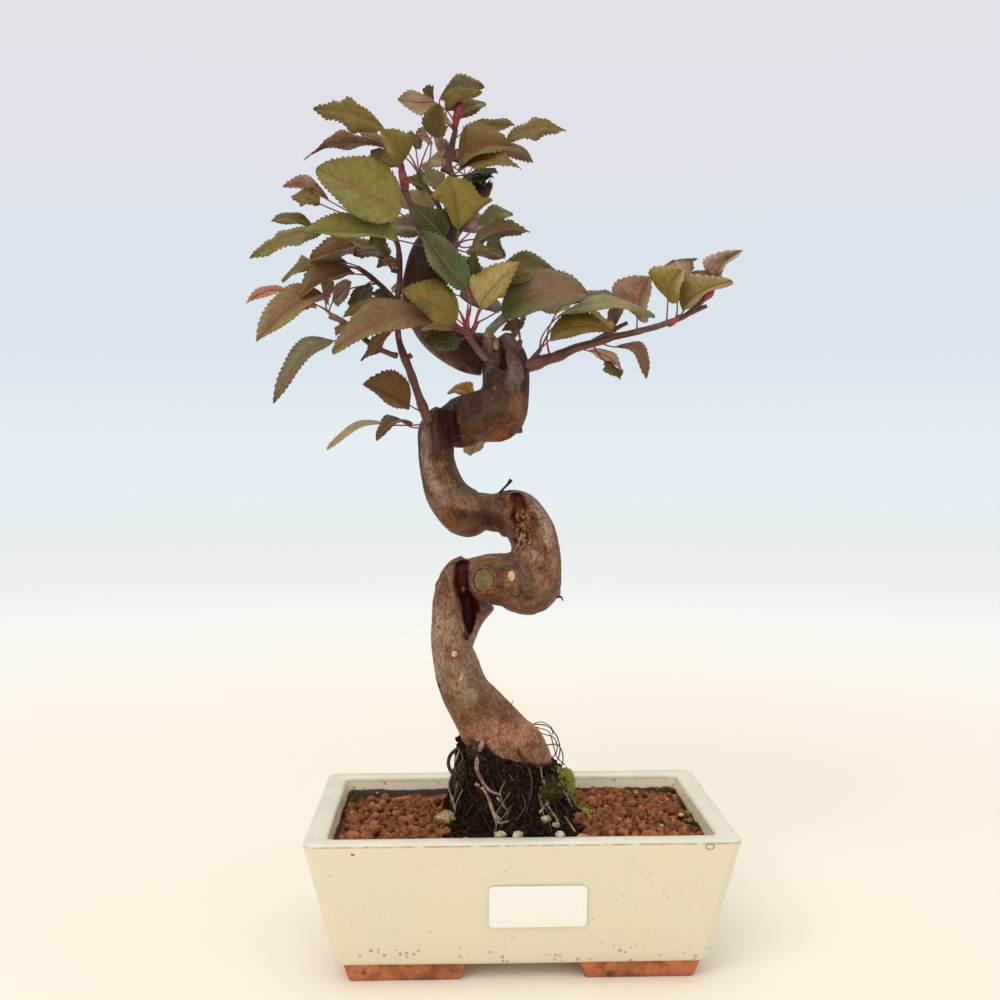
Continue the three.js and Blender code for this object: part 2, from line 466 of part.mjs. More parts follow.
// A square of stiff plastic mesh over each drain hole, and the wire staple that ties it down
function makeDrain(side) {
  const low = pot.floor + gap, high = low + drain.meshThickness;
  const x = side * drain.across, half = drain.mesh / 2;
  const sheet = loft([cornersOf(x, 0, half, half, low), cornersOf(x, 0, half, half, high)]);
  const through = (radius, across, y, sides) => cylinder(radius, low - 1, high + 1, across, y, sides);
  const windows = [-1, 0, 1].flatMap((i) => [-1, 0, 1].map((j) =>
    through(drain.window, x + i * drain.windowAcross, j * drain.windowAlong, 4)));
  const slots = [-1, 1].map((y) => through(drain.wireHole, x, y * drain.wireSpan, 6));
  const top = high + gap + drain.wire, bottom = pot.footHeight - drain.wireReach;
  const bend = [[-1, bottom], [-1, top], [1, top], [1, bottom]]
    .map(([y, z]) => new THREE.Vector3(x, y * drain.wireSpan, z));
  const legs = [0, 1, 2].map((i) => limb([bend[i], bend[i + 1]], [drain.wire, drain.wire], 4, 1));
  const knees = [1, 2].map((i) =>
    solid(new THREE.OctahedronGeometry(drain.wire * 1.2, 0).translate(...bend[i])));
  return { mesh: cut(sheet, [...windows, ...slots]), wire: union([...legs, ...knees]) };
}

// The room that the soil leaves for a drain mesh and its wire
function drainRoom(side) {
  const half = drain.mesh / 2 + 1;
  const levels = [pot.floor - 1, pot.floor + drain.room];
  return loft(levels.map((z) => cornersOf(side * drain.across, 0, half, half, z)));
}

// A blank stuck-on label on the front wall
function makeLabel() {
  const plate = (off) => {
    const slope = pot.taper / (pot.height - pot.footHeight);
    const out = new THREE.Vector3(0, -1, -slope).normalize();
    const up = new THREE.Vector3(0, -slope, 1).normalize();
    const at = new THREE.Vector3(label.across, -(pot.depth / 2 - leanAt(label.middle)), label.middle);
    return roundedRing(label.width / 2, label.height / 2, label.corner, 0).map((p) => at.clone()
      .add(new THREE.Vector3(p.x, 0, 0)).addScaledVector(up, p.y).addScaledVector(out, off));
  };
  return loft([plate(label.off), plate(label.off + label.thickness)]);
}

// A repeatable scatter between -1 and 1 for a pair of whole numbers
function scatter(i, j) {
  const wave = Math.sin(i * 127.1 + j * 311.7) * 43758.5453;
  return 2 * (wave - Math.floor(wave)) - 1;
}

// The root mound is highest at its left
const moundTop = (angle) => mound.top - mound.tilt * Math.cos(angle);

// The radius of the root mound at a height and an angle
function moundRadius(z, angle) {
  const rise = THREE.MathUtils.clamp((z - mound.ground) / (moundTop(angle) - mound.ground), 0, 1);
  const lumps = Math.sin(3 * angle + 0.08 * z) + 0.6 * Math.sin(5 * angle - 0.11 * z + 1)
    + 0.5 * Math.sin(8 * angle + 0.3 * z);
  const draw = mound.draw + mound.narrow * Math.cos(angle);
  return mound.radius - draw * rise ** 0.8 + mound.lump * lumps;
}

function makeMound(grow = 0) {
  const rings = [];
  for (let k = 0; k <= mound.rings; k++) {
    rings.push(Array.from({ length: mound.sides }, (_, s) => {
      const angle = 2 * Math.PI * s / mound.sides;
      const z = THREE.MathUtils.lerp(mound.bottom - grow, moundTop(angle) + grow, k / mound.rings);
      const radius = moundRadius(z, angle) + grow;
      const [x, y] = [radius * Math.cos(angle), radius * Math.sin(angle)];
      return new THREE.Vector3(mound.across + x, mound.depth + y, z);
    }));
  }
  return loft(rings);
}

// Where a line of sight first meets the mound or the soil
function onGround([across, down]) {
  const ray = sight(across, down);
  for (let reach = 560; reach < 900; reach += 0.4) {
    const at = eyePoint.clone().addScaledVector(ray, reach);
    const [x, y] = [at.x - mound.across, at.y - mound.depth];
    if (at.z < soil.top) return at;
    const angle = Math.atan2(y, x);
    if (at.z < moundTop(angle) && Math.hypot(x, y) < moundRadius(at.z, angle)) return at;
  }
  throw new Error("that line of sight misses the ground");
}

function rootLimbs(grow = 0) {
  return surfaceRoots.map(([radius, start, ...marks]) => {
    const points = [place(start), ...marks.map(onGround)];
    const radii = points.map((p, i) => spanAt(radius, p) * (1 - rootTaper * i) + grow);
    return limb(points, radii, 5, marks.length + 1, grow);
  });
}

// A pebble or a pad of moss: a lumpy ball, flattened and set on the ground
function lump(mark, halfX, halfY, halfZ, seed, grow = 0) {
  const detail = halfX > 4 ? 1 : 0;
  const facets = new THREE.IcosahedronGeometry(1, detail).deleteAttribute("normal").deleteAttribute("uv");
  const ball = mergeVertices(facets, 1e-4);
  const at = onGround(mark), spots = ball.attributes.position;
  for (let i = 0; i < spots.count; i++) {
    const swell = 1 + 0.1 * scatter(i, seed);
    spots.setXYZ(i, spots.getX(i) * (halfX * swell + grow), spots.getY(i) * (halfY * swell + grow),
      spots.getZ(i) * (halfZ * swell + grow));
  }
  return solid(ball.translate(at.x, at.y, at.z + 0.25 * halfZ));
}

// The soil: a bed of fired clay granules, whose top is a field of humps
function makeSoil() {
  const halfX = pot.width / 2, halfY = pot.depth / 2;
  const nx = Math.round(2 * halfX / soil.step), ny = Math.round(2 * halfY / soil.step);
  const points = [], index = [];
  const at = (i, j, layer) => (i * (ny + 1) + j) * 2 + layer;
  for (let i = 0; i <= nx; i++)
    for (let j = 0; j <= ny; j++) {
      const x = -halfX + soil.step * (i + 0.35 * scatter(i, j));
      const y = -halfY + soil.step * (j + 0.35 * scatter(j, i + 7));
      const nearEnd = Math.abs(x) / (halfX - soil.edgeWidth);
      const nearSide = Math.abs(y) / (halfY - soil.edgeWidth);
      const nearWall = Math.max(nearEnd, nearSide);
      const z = soil.top - soil.edgeDrop * nearWall ** 6 + soil.granule * 0.5 * scatter(i + 3, j + 5);
      points.push(new THREE.Vector3(x, y, z), new THREE.Vector3(x, y, soil.bottom));
    }
  for (let i = 0; i < nx; i++)
    for (let j = 0; j < ny; j++) {
      const [a, b, c, d] = [at(i, j, 0), at(i + 1, j, 0), at(i + 1, j + 1, 0), at(i, j + 1, 0)];
      const [e, f, g, h] = [a + 1, b + 1, c + 1, d + 1];
      index.push(a, b, c, a, c, d, e, g, f, e, h, g);
    }
  const wall = (i, j, k, l) => {
    index.push(at(i, j, 0), at(i, j, 1), at(k, l, 1), at(i, j, 0), at(k, l, 1), at(k, l, 0));
  };
  for (let i = 0; i < nx; i++) {
    wall(i, 0, i + 1, 0);
    wall(i + 1, ny, i, ny);
  }
  for (let j = 0; j < ny; j++) {
    wall(0, j + 1, 0, j);
    wall(nx, j, nx, j + 1);
  }
  return closed(points, index).intersect(potHollow(gap, pot.height));
}

// Half widths along a leaf, from its base at 0 to its tip at 1. above is 1 for the upper side and -1 for
// the lower one.
const outlines = {
  oval: (t) => Math.sin(Math.PI * t ** 0.85) ** 0.8,
  round: (t) => Math.sin(Math.PI * t ** 0.75) ** 0.65,
  lobed: (t, above) => Math.sin(Math.PI * t ** 0.85) * (0.62 + 0.5 * bump(t, 0.52 + 0.06 * above, 0.13)),
  shoulder: (t, above) =>
    Math.sin(Math.PI * t ** 0.8) ** 0.8 * (1 + Math.max(0, above) * bump(t, 0.22, 0.14) / 2),
  forked: (t) => Math.sin(Math.PI * t ** 1.7) ** 0.7 * 0.95,
};

function bump(t, at, width) {
  return Math.exp(-(((t - at) / width) ** 2));
}

// A point of a leaf's midrib, from base to tip
function midrib([base, middle, tip], t) {
  const pull = middle.clone().multiplyScalar(2).addScaledVector(base, -0.5).addScaledVector(tip, -0.5);
  return base.clone().multiplyScalar((1 - t) ** 2)
    .addScaledVector(pull, 2 * t * (1 - t))
    .addScaledVector(tip, t * t);
}

// The spot on a shoot's wood that lies nearest to a mark as seen from the front
function rootOn(woods, [across, down]) {
  let best, least = Infinity;
  for (const wood of woods)
    for (let i = 0; i + 1 < wood.length; i++)
      for (let t = 0; t < 0.9; t += 0.1) {
        const at = wood[i].map((value, k) => value + t * (wood[i + 1][k] - value));
        const away = Math.hypot(at[0] - across, at[1] - down);
        if (away < least) [least, best] = [away, at];
      }
  return place(best);
}

// One toothed blade, folded along its midrib, and its stalk, as one closed solid
function makeLeaf(lines, [outline, root, base, middle, tip, above, below, full, face]) {
  const ribs = [base, middle, tip].map(place);
  const chord = ribs[2].clone().sub(ribs[0]);
  const toEye = eyePoint.clone().sub(ribs[1]).normalize();
  const side = new THREE.Vector3().crossVectors(chord, toEye).normalize();
  if (side.z < 0) side.negate();
  const front = toEye.clone().addScaledVector(chord, -toEye.dot(chord) / chord.lengthSq()).normalize();
  const turn = face === "top" ? 1 : -1;
  const halves = [[above, 1], [below, -1]].map(([seen, sign]) => {
    const share = Math.min(0.98, seen / full);
    return side.clone().multiplyScalar(sign * share)
      .addScaledVector(front, -turn * sign * Math.sqrt(1 - share ** 2));
  });
  const across = halves[0].clone().sub(halves[1]).normalize();
  const normal = new THREE.Vector3().crossVectors(chord, across).normalize();
  const halfWidth = spanAt(full, ribs[1]);
  const steps = 2 * leafBlade.teethBySize.find(([size]) => full >= size)[1];
  const edges = halves.map((way, half) => {
    const line = [ribs[0].clone().addScaledVector(across, half ? -stalk.radius : stalk.radius)];
    for (let k = 1; k < steps; k++) {
      const peak = k % 2 === 1;
      const t = (k + (peak ? 0.45 : 0)) / steps;
      const reach = outlines[outline](t, half ? -1 : 1) + (peak ? leafBlade.tooth : -leafBlade.tooth * 0.4);
      line.push(midrib(ribs, t).addScaledVector(way, halfWidth * Math.max(0.12, reach)));
    }
    return line;
  });
  // The outline runs up the first edge to the tip and back down the other, and two points lie on the midrib
  const rim = [...edges[0], ribs[2], ...edges[1].reverse()];
  const layerPoints = [...rim, midrib(ribs, 0.3), midrib(ribs, 0.62)];
  const shift = normal.clone().multiplyScalar(leafBlade.thickness / 2);
  const points = [1, -1].flatMap((way) => layerPoints.map((p) => p.clone().addScaledVector(shift, way)));
  const n = rim.length, layer = layerPoints.length, [near, far] = [n, n + 1];
  const mid = steps / 2;
  const faces = [[near, mid, far], [far, n - 1 - mid, near], [near, n - 1, 0]];
  for (let i = 0; i + 1 < n; i++) faces.push([i < mid || i >= n - 1 - mid ? near : far, i, i + 1]);
  const index = faces.flatMap(([a, b, c]) => [a, b, c, a + layer, c + layer, b + layer]);
  for (let i = 0; i + 1 < n; i++) index.push(i, i + layer, i + 1 + layer, i, i + 1 + layer, i + 1);
  // The stalk's rings run from the blade's base to the wood
  const start = rootOn(lines, root);
  const way = ribs[0].clone().sub(midrib(ribs, 0.1)).normalize();
  const bend = ribs[0].clone().lerp(start, 0.45).addScaledVector(way, start.distanceTo(ribs[0]) * 0.18);
  const wide = across.clone().addScaledVector(way, -across.dot(way)).setLength(stalk.radius);
  const high = normal.clone().setLength(stalk.radius);
  let ring = [0, n - 1, n - 1 + layer, layer];
  [[bend, ribs[0], start], [start, bend, start]].forEach(([at, from, to]) => {
    const along = to.clone().sub(from).normalize();
    const roll = new THREE.Quaternion().setFromUnitVectors(way, along);
    wide.applyQuaternion(roll);
    high.applyQuaternion(roll);
    way.copy(along);
    const next = [[1, 1], [-1, 1], [-1, -1], [1, -1]].map(([x, y]) => points.push(
      at.clone().addScaledVector(wide, 0.8 * x).addScaledVector(high, 0.8 * y)) - 1);
    ring.forEach((a, i) => {
      const j = (i + 1) % 4;
      index.push(a, ring[j], next[j], a, next[j], next[i]);
    });
    ring = next;
  });
  index.push(ring[0], ring[1], ring[2], ring[0], ring[2], ring[3]);
  return closed(points, index);
}

function makeShoot({ wood: lines, leaves }) {
  return union([
    ...lines.map((line) => woodLimb(line, wood.shootSides, wood.shootStep)),
    ...leaves.map((leaf) => makeLeaf(lines, leaf)),
  ]);
}

function makeTrunk(grow = 0) {
  const { trunkSides, trunkStep } = wood;
  const limbs = Object.values(trunkBends).map((bend) => woodLimb(bend, trunkSides, trunkStep, grow));
  const [across, down, depth, radius] = rotHollow;
  const at = place([across, down, depth]);
  const hollow = solid(new THREE.IcosahedronGeometry(spanAt(radius, at), 1).translate(at.x, at.y, at.z));
  const body = union([...limbs, ...rootLimbs(grow)]);
  return grow ? body : body.subtract(hollow);
}

const trunkRoom = makeTrunk(gap);
const moundRoom = makeMound(gap);
const pebbleLump = ([mark, radius], i, grow) =>
  lump(mark, radius * pebble.across, radius * pebble.depth, radius * pebble.height, i, grow);
const padLump = ([mark, ...halves], i, grow) => lump(mark, ...halves, i + pebbles.length, grow);

add("pot", makePot(), 0xe6dfc6, 0.25);
add("label_blank", makeLabel(), 0xf4f3f0, 0.5);
[["left", -1], ["right", 1]].forEach(([side, sign]) => {
  const { mesh, wire } = makeDrain(sign);
  add("drain_mesh_" + side, mesh, 0x2c2f2e, 0.6);
  add("drain_wire_" + side, wire, 0x9a9186, 0.4);
});
const pebbleRoom = pebbles.map((stone, i) => pebbleLump(stone, i, gap));
const pads = Object.entries(mossPads);
const padRoom = pads.map(([, pad], i) => padLump(pad, i, gap));
const drainRooms = [-1, 1].map(drainRoom);
const soilBody = cut(makeSoil(), [trunkRoom, moundRoom, ...pebbleRoom, ...padRoom, ...drainRooms]);
add("soil", soilBody, 0x8a4a2c, 0.95);
add("root_mound", cut(makeMound(), [trunkRoom, ...pebbleRoom, ...padRoom]), 0x1d1714, 0.95);
pads.forEach(([name, pad], i) => {
  add(name, cut(padLump(pad, i, 0), [trunkRoom, ...pebbleRoom]), 0x6f8f2c, 0.95);
});
pebbles.forEach((stone, i) => {
  add("pebble_" + (i + 1), cut(pebbleLump(stone, i, 0), [trunkRoom]), stone[2], 0.8);
});
add("trunk", makeTrunk(), 0x6b5048, 0.7);
Object.entries(shoots).forEach(([name, shoot]) =>
  add("shoot_" + name, cut(makeShoot(shoot), [trunkRoom]), 0x6f6a36, 0.55));

// The origin is the middle of the whole plant's footprint, on the surface that the pot stands on
const middle = new THREE.Box3().setFromObject(tree).getCenter(new THREE.Vector3());
tree.position.set(-middle.x, -middle.y, 0);

export default tree;
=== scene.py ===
# An apple bonsai with a twice coiled trunk, in a glazed pot on four bare clay feet.
import math
import random

import bmesh
import bpy
import numpy as np
from mathutils import Matrix, Vector, kdtree, noise
from mathutils.bvhtree import BVHTree


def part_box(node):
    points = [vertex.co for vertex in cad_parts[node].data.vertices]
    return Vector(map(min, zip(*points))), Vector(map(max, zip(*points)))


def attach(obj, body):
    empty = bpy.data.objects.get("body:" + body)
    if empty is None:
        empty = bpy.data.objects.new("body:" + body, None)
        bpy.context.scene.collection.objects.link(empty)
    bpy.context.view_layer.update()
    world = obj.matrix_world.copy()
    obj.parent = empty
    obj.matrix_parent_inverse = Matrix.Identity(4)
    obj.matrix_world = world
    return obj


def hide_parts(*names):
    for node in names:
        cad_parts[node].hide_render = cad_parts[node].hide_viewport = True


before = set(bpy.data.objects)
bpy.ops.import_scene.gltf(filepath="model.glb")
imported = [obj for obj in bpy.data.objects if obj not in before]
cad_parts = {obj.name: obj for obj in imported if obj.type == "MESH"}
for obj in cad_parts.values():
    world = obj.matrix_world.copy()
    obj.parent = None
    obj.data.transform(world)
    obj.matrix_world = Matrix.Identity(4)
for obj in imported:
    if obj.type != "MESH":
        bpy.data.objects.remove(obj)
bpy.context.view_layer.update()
scene = bpy.context.scene
mm = 0.001
noise.seed_set(1)  # or its vectors differ from run to run

# The view from the front. Marks such as (across, down) are thousandths of its square field.
view = {
    "eye": (-0.0353, -0.6962, 0.273),  # from the middle of the pot, on the table
    "turn": 0.037,
    "pitch": 0.039,
    "focal": 1260,
    "middle": 500,
    "lens": 45.36,
    "sensor": 36,
    "reach": 50,
}
low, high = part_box("pot")
potMiddle = Vector(((low.x + high.x) / 2, (low.y + high.y) / 2, 0))
eye = potMiddle + Vector(view["eye"])
ahead = Vector((
    math.sin(view["turn"]) * math.cos(view["pitch"]),
    math.cos(view["turn"]) * math.cos(view["pitch"]),
    -math.sin(view["pitch"]),
))
rightward = Vector((math.cos(view["turn"]), -math.sin(view["turn"]), 0))
upward = rightward.cross(ahead)


# The line of sight through a mark
def sight(across, down):
    sideways = rightward * (across - view["middle"]) / view["focal"]
    return ahead + sideways + upward * (view["middle"] - down) / view["focal"]


# A point from its mark and its depth in millimetres behind the middle of the pot
def place(across, down, depth):
    ray = sight(across, down)
    return eye + ray * (depth * mm - view["eye"][1]) / ray.y


# A length across the field of view, at a point in space
def spanAt(length, point):
    return length / view["focal"] * (point - eye).dot(ahead)


# Colours are six hex digits of sRGB
def tone(code):
    parts = [int(code[i:i + 2], 16) / 255 for i in (0, 2, 4)]
    return (*[c / 12.92 if c <= 0.04045 else ((c + 0.055) / 1.055) ** 2.4 for c in parts], 1)


def clamp(value, least=0.0, most=1.0):
    return max(least, min(most, value))


def smooth(value):
    value = clamp(value)
    return value * value * (3 - 2 * value)


# Tables write words, numbers and marks as one row: "rust 0.6 4 449,647 447,656"
def readPart(part):
    if "," in part:
        return tuple(float(number) for number in part.split(","))
    return part if part[0].isalpha() else float(part)


def readRow(row):
    return [readPart(part) for part in row.split()]


def randomWay(rng):
    return Vector((rng.gauss(0, 1), rng.gauss(0, 1), rng.gauss(0, 1)))


# Node trees
def addNode(tree, kind, inputs=(), **settings):
    node = tree.nodes.new(kind)
    for name, value in settings.items():
        setattr(node, name, value)
    for name, value in dict(inputs).items():
        if isinstance(value, bpy.types.NodeSocket):
            tree.links.new(value, node.inputs[name])
        else:
            node.inputs[name].default_value = value
    return node


def maths(tree, operation, a, b=0.0):
    return addNode(tree, "ShaderNodeMath", {0: a, 1: b}, operation=operation).outputs[0]


def times(tree, a, b):
    return maths(tree, "MULTIPLY", a, b)


def distance(tree, a, b):
    return maths(tree, "ABSOLUTE", maths(tree, "SUBTRACT", a, b))


def mixTone(tree, factor, a, b, mode="MIX"):
    a, b = (tone(colour) if isinstance(colour, str) else colour for colour in (a, b))
    mix = addNode(tree, "ShaderNodeMix", {0: factor, 6: a, 7: b}, data_type="RGBA", blend_type=mode)
    return mix.outputs[2]


# A colour with another one laid over it, as far as a mask and a strength let it
def cover(tree, colour, mask, strength, over, mode="MIX"):
    return mixTone(tree, times(tree, mask, strength), colour, over, mode)


def ease(tree, value, least, most, start=0.0, end=1.0):
    sizes = {0: value, 1: least, 2: most, 3: start, 4: end}
    return addNode(tree, "ShaderNodeMapRange", sizes, interpolation_type="SMOOTHSTEP").outputs[0]


def objectPlace(tree):
    return addNode(tree, "ShaderNodeTexCoord").outputs["Object"]


def attributeOf(tree, name, output):
    return addNode(tree, "ShaderNodeAttribute", attribute_name=name).outputs[output]


def axisOf(tree, place, axis):
    return addNode(tree, "ShaderNodeSeparateXYZ", {0: place}).outputs[axis]


def lightnessOf(tree, colour):
    return addNode(tree, "ShaderNodeRGBToBW", {0: colour}).outputs[0]


def stretch(tree, place, scale):
    return addNode(tree, "ShaderNodeMapping", {"Vector": place, "Scale": scale}).outputs[0]


def startGroup(name, inputs, output, kind):
    group = bpy.data.node_groups.new(name, "ShaderNodeTree")
    group.interface.new_socket("Place", in_out="INPUT", socket_type="NodeSocketVector")
    for label, value in inputs.items():
        socket = group.interface.new_socket(label, in_out="INPUT", socket_type="NodeSocketFloat")
        socket.default_value = value
    group.interface.new_socket(output, in_out="OUTPUT", socket_type=kind)
    return group, addNode(group, "NodeGroupInput").outputs, addNode(group, "NodeGroupOutput").inputs


# Soft clouds of a second tone: 0 to 1
def makeCloudGroup():
    group, given, result = startGroup(
        "clouds", {"Scale": 40, "From": 0.45, "To": 0.6, "Detail": 4}, "Mask", "NodeSocketFloat")
    fog = addNode(group, "ShaderNodeTexNoise", {
        "Vector": given["Place"], "Scale": given["Scale"], "Detail": given["Detail"], "Roughness": 0.6})
    mask = addNode(group, "ShaderNodeMapRange", {
        0: fog.outputs[0], 1: given["From"], 2: given["To"]}, interpolation_type="SMOOTHSTEP")
    group.links.new(mask.outputs[0], result["Mask"])
    return group


# Scattered round spots, a share of the cells holding one
def makeSpotGroup():
    group, given, result = startGroup(
        "spots", {"Scale": 400, "Size": 0.2, "Share": 0.3}, "Mask", "NodeSocketFloat")
    cells = addNode(group, "ShaderNodeTexVoronoi", {"Vector": given["Place"], "Scale": given["Scale"]})
    luck = addNode(group, "ShaderNodeSeparateColor", {0: cells.outputs["Color"]}).outputs[0]
    chosen = maths(group, "LESS_THAN", luck, given["Share"])
    edge = times(group, given["Size"], 0.5)
    inside = addNode(group, "ShaderNodeMapRange", {
        0: cells.outputs["Distance"], 1: edge, 2: given["Size"], 3: 1.0, 4: 0.0})
    group.links.new(times(group, chosen, inside.outputs[0]), result["Mask"])
    return group


# Fine lines along the borders of cells
def makeCrackGroup():
    group, given, result = startGroup(
        "cracks", {"Scale": 100, "Width": 0.04}, "Mask", "NodeSocketFloat")
    bent = addNode(group, "ShaderNodeTexNoise", {"Vector": given["Place"], "Scale": given["Scale"]})
    shift = addNode(group, "ShaderNodeVectorMath", {
        0: bent.outputs["Color"], "Scale": 0.004}, operation="SCALE").outputs[0]
    moved = addNode(group, "ShaderNodeVectorMath", {
        0: given["Place"], 1: shift}, operation="ADD").outputs[0]
    cells = addNode(group, "ShaderNodeTexVoronoi", {
        "Vector": moved, "Scale": given["Scale"]}, feature="DISTANCE_TO_EDGE")
    line = addNode(group, "ShaderNodeMapRange", {
        0: cells.outputs["Distance"], 1: 0.0, 2: given["Width"], 3: 1.0, 4: 0.0})
    group.links.new(line.outputs[0], result["Mask"])
    return group


# A height field of coarse humps under fine grain
def makeReliefGroup():
    group, given, result = startGroup(
        "relief", {"Coarse": 200, "Fine": 1200, "Grain": 0.35}, "Height", "NodeSocketFloat")
    humps = addNode(group, "ShaderNodeTexNoise", {
        "Vector": given["Place"], "Scale": given["Coarse"], "Detail": 4})
    grain = addNode(group, "ShaderNodeTexNoise", {
        "Vector": given["Place"], "Scale": given["Fine"], "Detail": 3})
    both = addNode(group, "ShaderNodeMix", {
        0: given["Grain"], 2: humps.outputs[0], 3: grain.outputs[0]}, data_type="FLOAT")
    group.links.new(both.outputs[0], result["Height"])
    return group


cloudGroup = makeCloudGroup()
spotGroup = makeSpotGroup()
crackGroup = makeCrackGroup()
reliefGroup = makeReliefGroup()


def useGroup(tree, group, place, **values):
    return addNode(tree, "ShaderNodeGroup", {"Place": place, **values}, node_tree=group).outputs[0]


def makeMaterial(name, build):
    material = bpy.data.materials.new(name)
    material.use_nodes = True
    tree = material.node_tree
    tree.nodes.clear()
    surface = addNode(tree, "ShaderNodeBsdfPrincipled")
    addNode(tree, "ShaderNodeOutputMaterial", {"Surface": surface.outputs[0]})
    build(tree, surface, objectPlace(tree))
    return material


def feed(tree, surface, values, relief=None, reach=0.5):
    for name, value in values.items():
        if isinstance(value, bpy.types.NodeSocket):
            tree.links.new(value, surface.inputs[name])
        else:
            surface.inputs[name].default_value = value
    if relief:
        bump = addNode(tree, "ShaderNodeBump", {"Height": relief, "Distance": reach * mm})
        tree.links.new(bump.outputs[0], surface.inputs["Normal"])


# A plain finish: clouds of a second tone, specks if it has any, and fine relief
def plainFinish(name, tones, clouds, relief, bump, rough, share=1.0, specks=None, shine=0.5):
    def build(tree, surface, place):
        colour = mixTone(tree, times(tree, useGroup(tree, cloudGroup, place, **clouds), share), *tones)
        if specks:
            strength, over, spots = specks
            colour = cover(tree, colour, useGroup(tree, spotGroup, place, **spots), strength, over)
        height = useGroup(tree, reliefGroup, place, **relief)
        feed(tree, surface, {"Base Color": colour, "Roughness": rough, "Specular IOR Level": shine},
             height, bump)
    return makeMaterial(name, build)


# Pieces
def addPiece(name, mesh, replaced, materials):
    piece = bpy.data.objects.new(name, mesh)
    scene.collection.objects.link(piece)
    for material in materials:
        mesh.materials.append(material)
    mesh.polygons.foreach_set("use_smooth", [True] * len(mesh.polygons))
    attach(piece, "root")
    if replaced:
        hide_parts(*replaced)
    return piece


def toMesh(bm, name, sharp=None):
    mesh = bpy.data.meshes.new(name)
    bm.to_mesh(mesh)
    bm.free()
    if sharp:
        mesh.set_sharp_from_angle(angle=math.radians(sharp))
    return mesh


def relax(bm, verts):
    bmesh.ops.smooth_vert(bm, verts=verts, factor=0.5, use_axis_x=True, use_axis_y=True, use_axis_z=True)


# A smooth line through knots of x, y, z and radius
def smoothLine(knots, steps):
    knots = [np.array(k, float) for k in knots]
    rows = [2 * knots[0] - knots[1], *knots, 2 * knots[-1] - knots[-2]]
    line = []
    for a, b, c, d in zip(rows, rows[1:], rows[2:], rows[3:]):
        for i in range(steps):
            t = i / steps
            bend = (2 * a - 5 * b + 4 * c - d) * t * t + (3 * b - a - 3 * c + d) * t ** 3
            line.append((2 * b + (c - a) * t + bend) / 2)
    line.append(knots[-1])
    return line


def knotsOf(marks):
    return [(*place(*mark[:3]), spanAt(mark[3], place(*mark[:3]))) for mark in marks]


# Round tubes along lines of x, y, z and radius, as one mesh. A line may bring its material's number.
def tubes(name, lines, sides=8, caps=True):
    curve = bpy.data.curves.new(name, "CURVE")
    curve.dimensions = "3D"
    curve.bevel_depth = 1
    curve.bevel_resolution = sides // 2 - 2
    curve.use_fill_caps = caps
    for _ in range(max(number for _, number in lines) + 1):
        curve.materials.append(None)
    for line, number in lines:
        spline = curve.splines.new("POLY")
        spline.points.add(len(line) - 1)
        for point, (x, y, z, radius) in zip(spline.points, line):
            point.co = (x, y, z, 1)
            point.radius = max(radius, 0.00004)
        spline.material_index = number
    holder = bpy.data.objects.new(name, curve)
    scene.collection.objects.link(holder)
    mesh = bpy.data.meshes.new_from_object(holder.evaluated_get(bpy.context.evaluated_depsgraph_get()))
    bpy.data.objects.remove(holder)
    bpy.data.curves.remove(curve)
    numbers = [polygon.material_index for polygon in mesh.polygons]
    mesh.materials.clear()
    mesh.polygons.foreach_set("material_index", numbers)
    bm = bmesh.new()
    bm.from_mesh(mesh)
    bmesh.ops.remove_doubles(bm, verts=bm.verts, dist=1e-6)
    bmesh.ops.recalc_face_normals(bm, faces=bm.faces)
    bm.to_mesh(mesh)
    bm.free()
    return mesh


def applied(name, mesh, *modifiers):
    holder = bpy.data.objects.new(name, mesh)
    scene.collection.objects.link(holder)
    for kind, settings in modifiers:
        modifier = holder.modifiers.new(kind, kind)
        for key, value in settings.items():
            setattr(modifier, key, value)
    result = bpy.data.meshes.new_from_object(holder.evaluated_get(bpy.context.evaluated_depsgraph_get()))
    bpy.data.objects.remove(holder)
    return result


# Stage
stage = {
    "floorRadius": 7.0,
    "floorNear": "f8f0e2",
    "floorFar": "ebf1f0",
    "glowNear": 0.03,
    "glowFar": 0.22,
    "skyLow": "e5eef2",
    "skyMiddle": "dbe5ec",
    "skyHigh": "e3dfe7",
    "skyLight": "fffdfb",
    "skySide": 0.5,
    "skyTop": 0.8,
    "lampTone": (1.0, 0.96, 0.91),
    "lampAim": (0, 0, 0.25),
    # Place, width and power
    "lamps": {
        "keyLight": ((-0.7, -1.1, 1.3), 1.1, 9.4),
        "fillLight": ((1.1, -0.8, 0.8), 1.0, 1.2),
        "topLight": ((0.1, 0.3, 1.5), 1.4, 4.0),
    },
}


def makeCamera():
    data = bpy.data.cameras.new("camera")
    data.sensor_width = view["sensor"]
    data.lens = view["lens"]
    data.clip_end = view["reach"]
    camera = bpy.data.objects.new("camera", data)
    turn = Matrix((rightward, upward, -ahead)).transposed().to_4x4()
    turn.translation = eye
    camera.matrix_world = turn
    scene.collection.objects.link(camera)
    scene.camera = camera


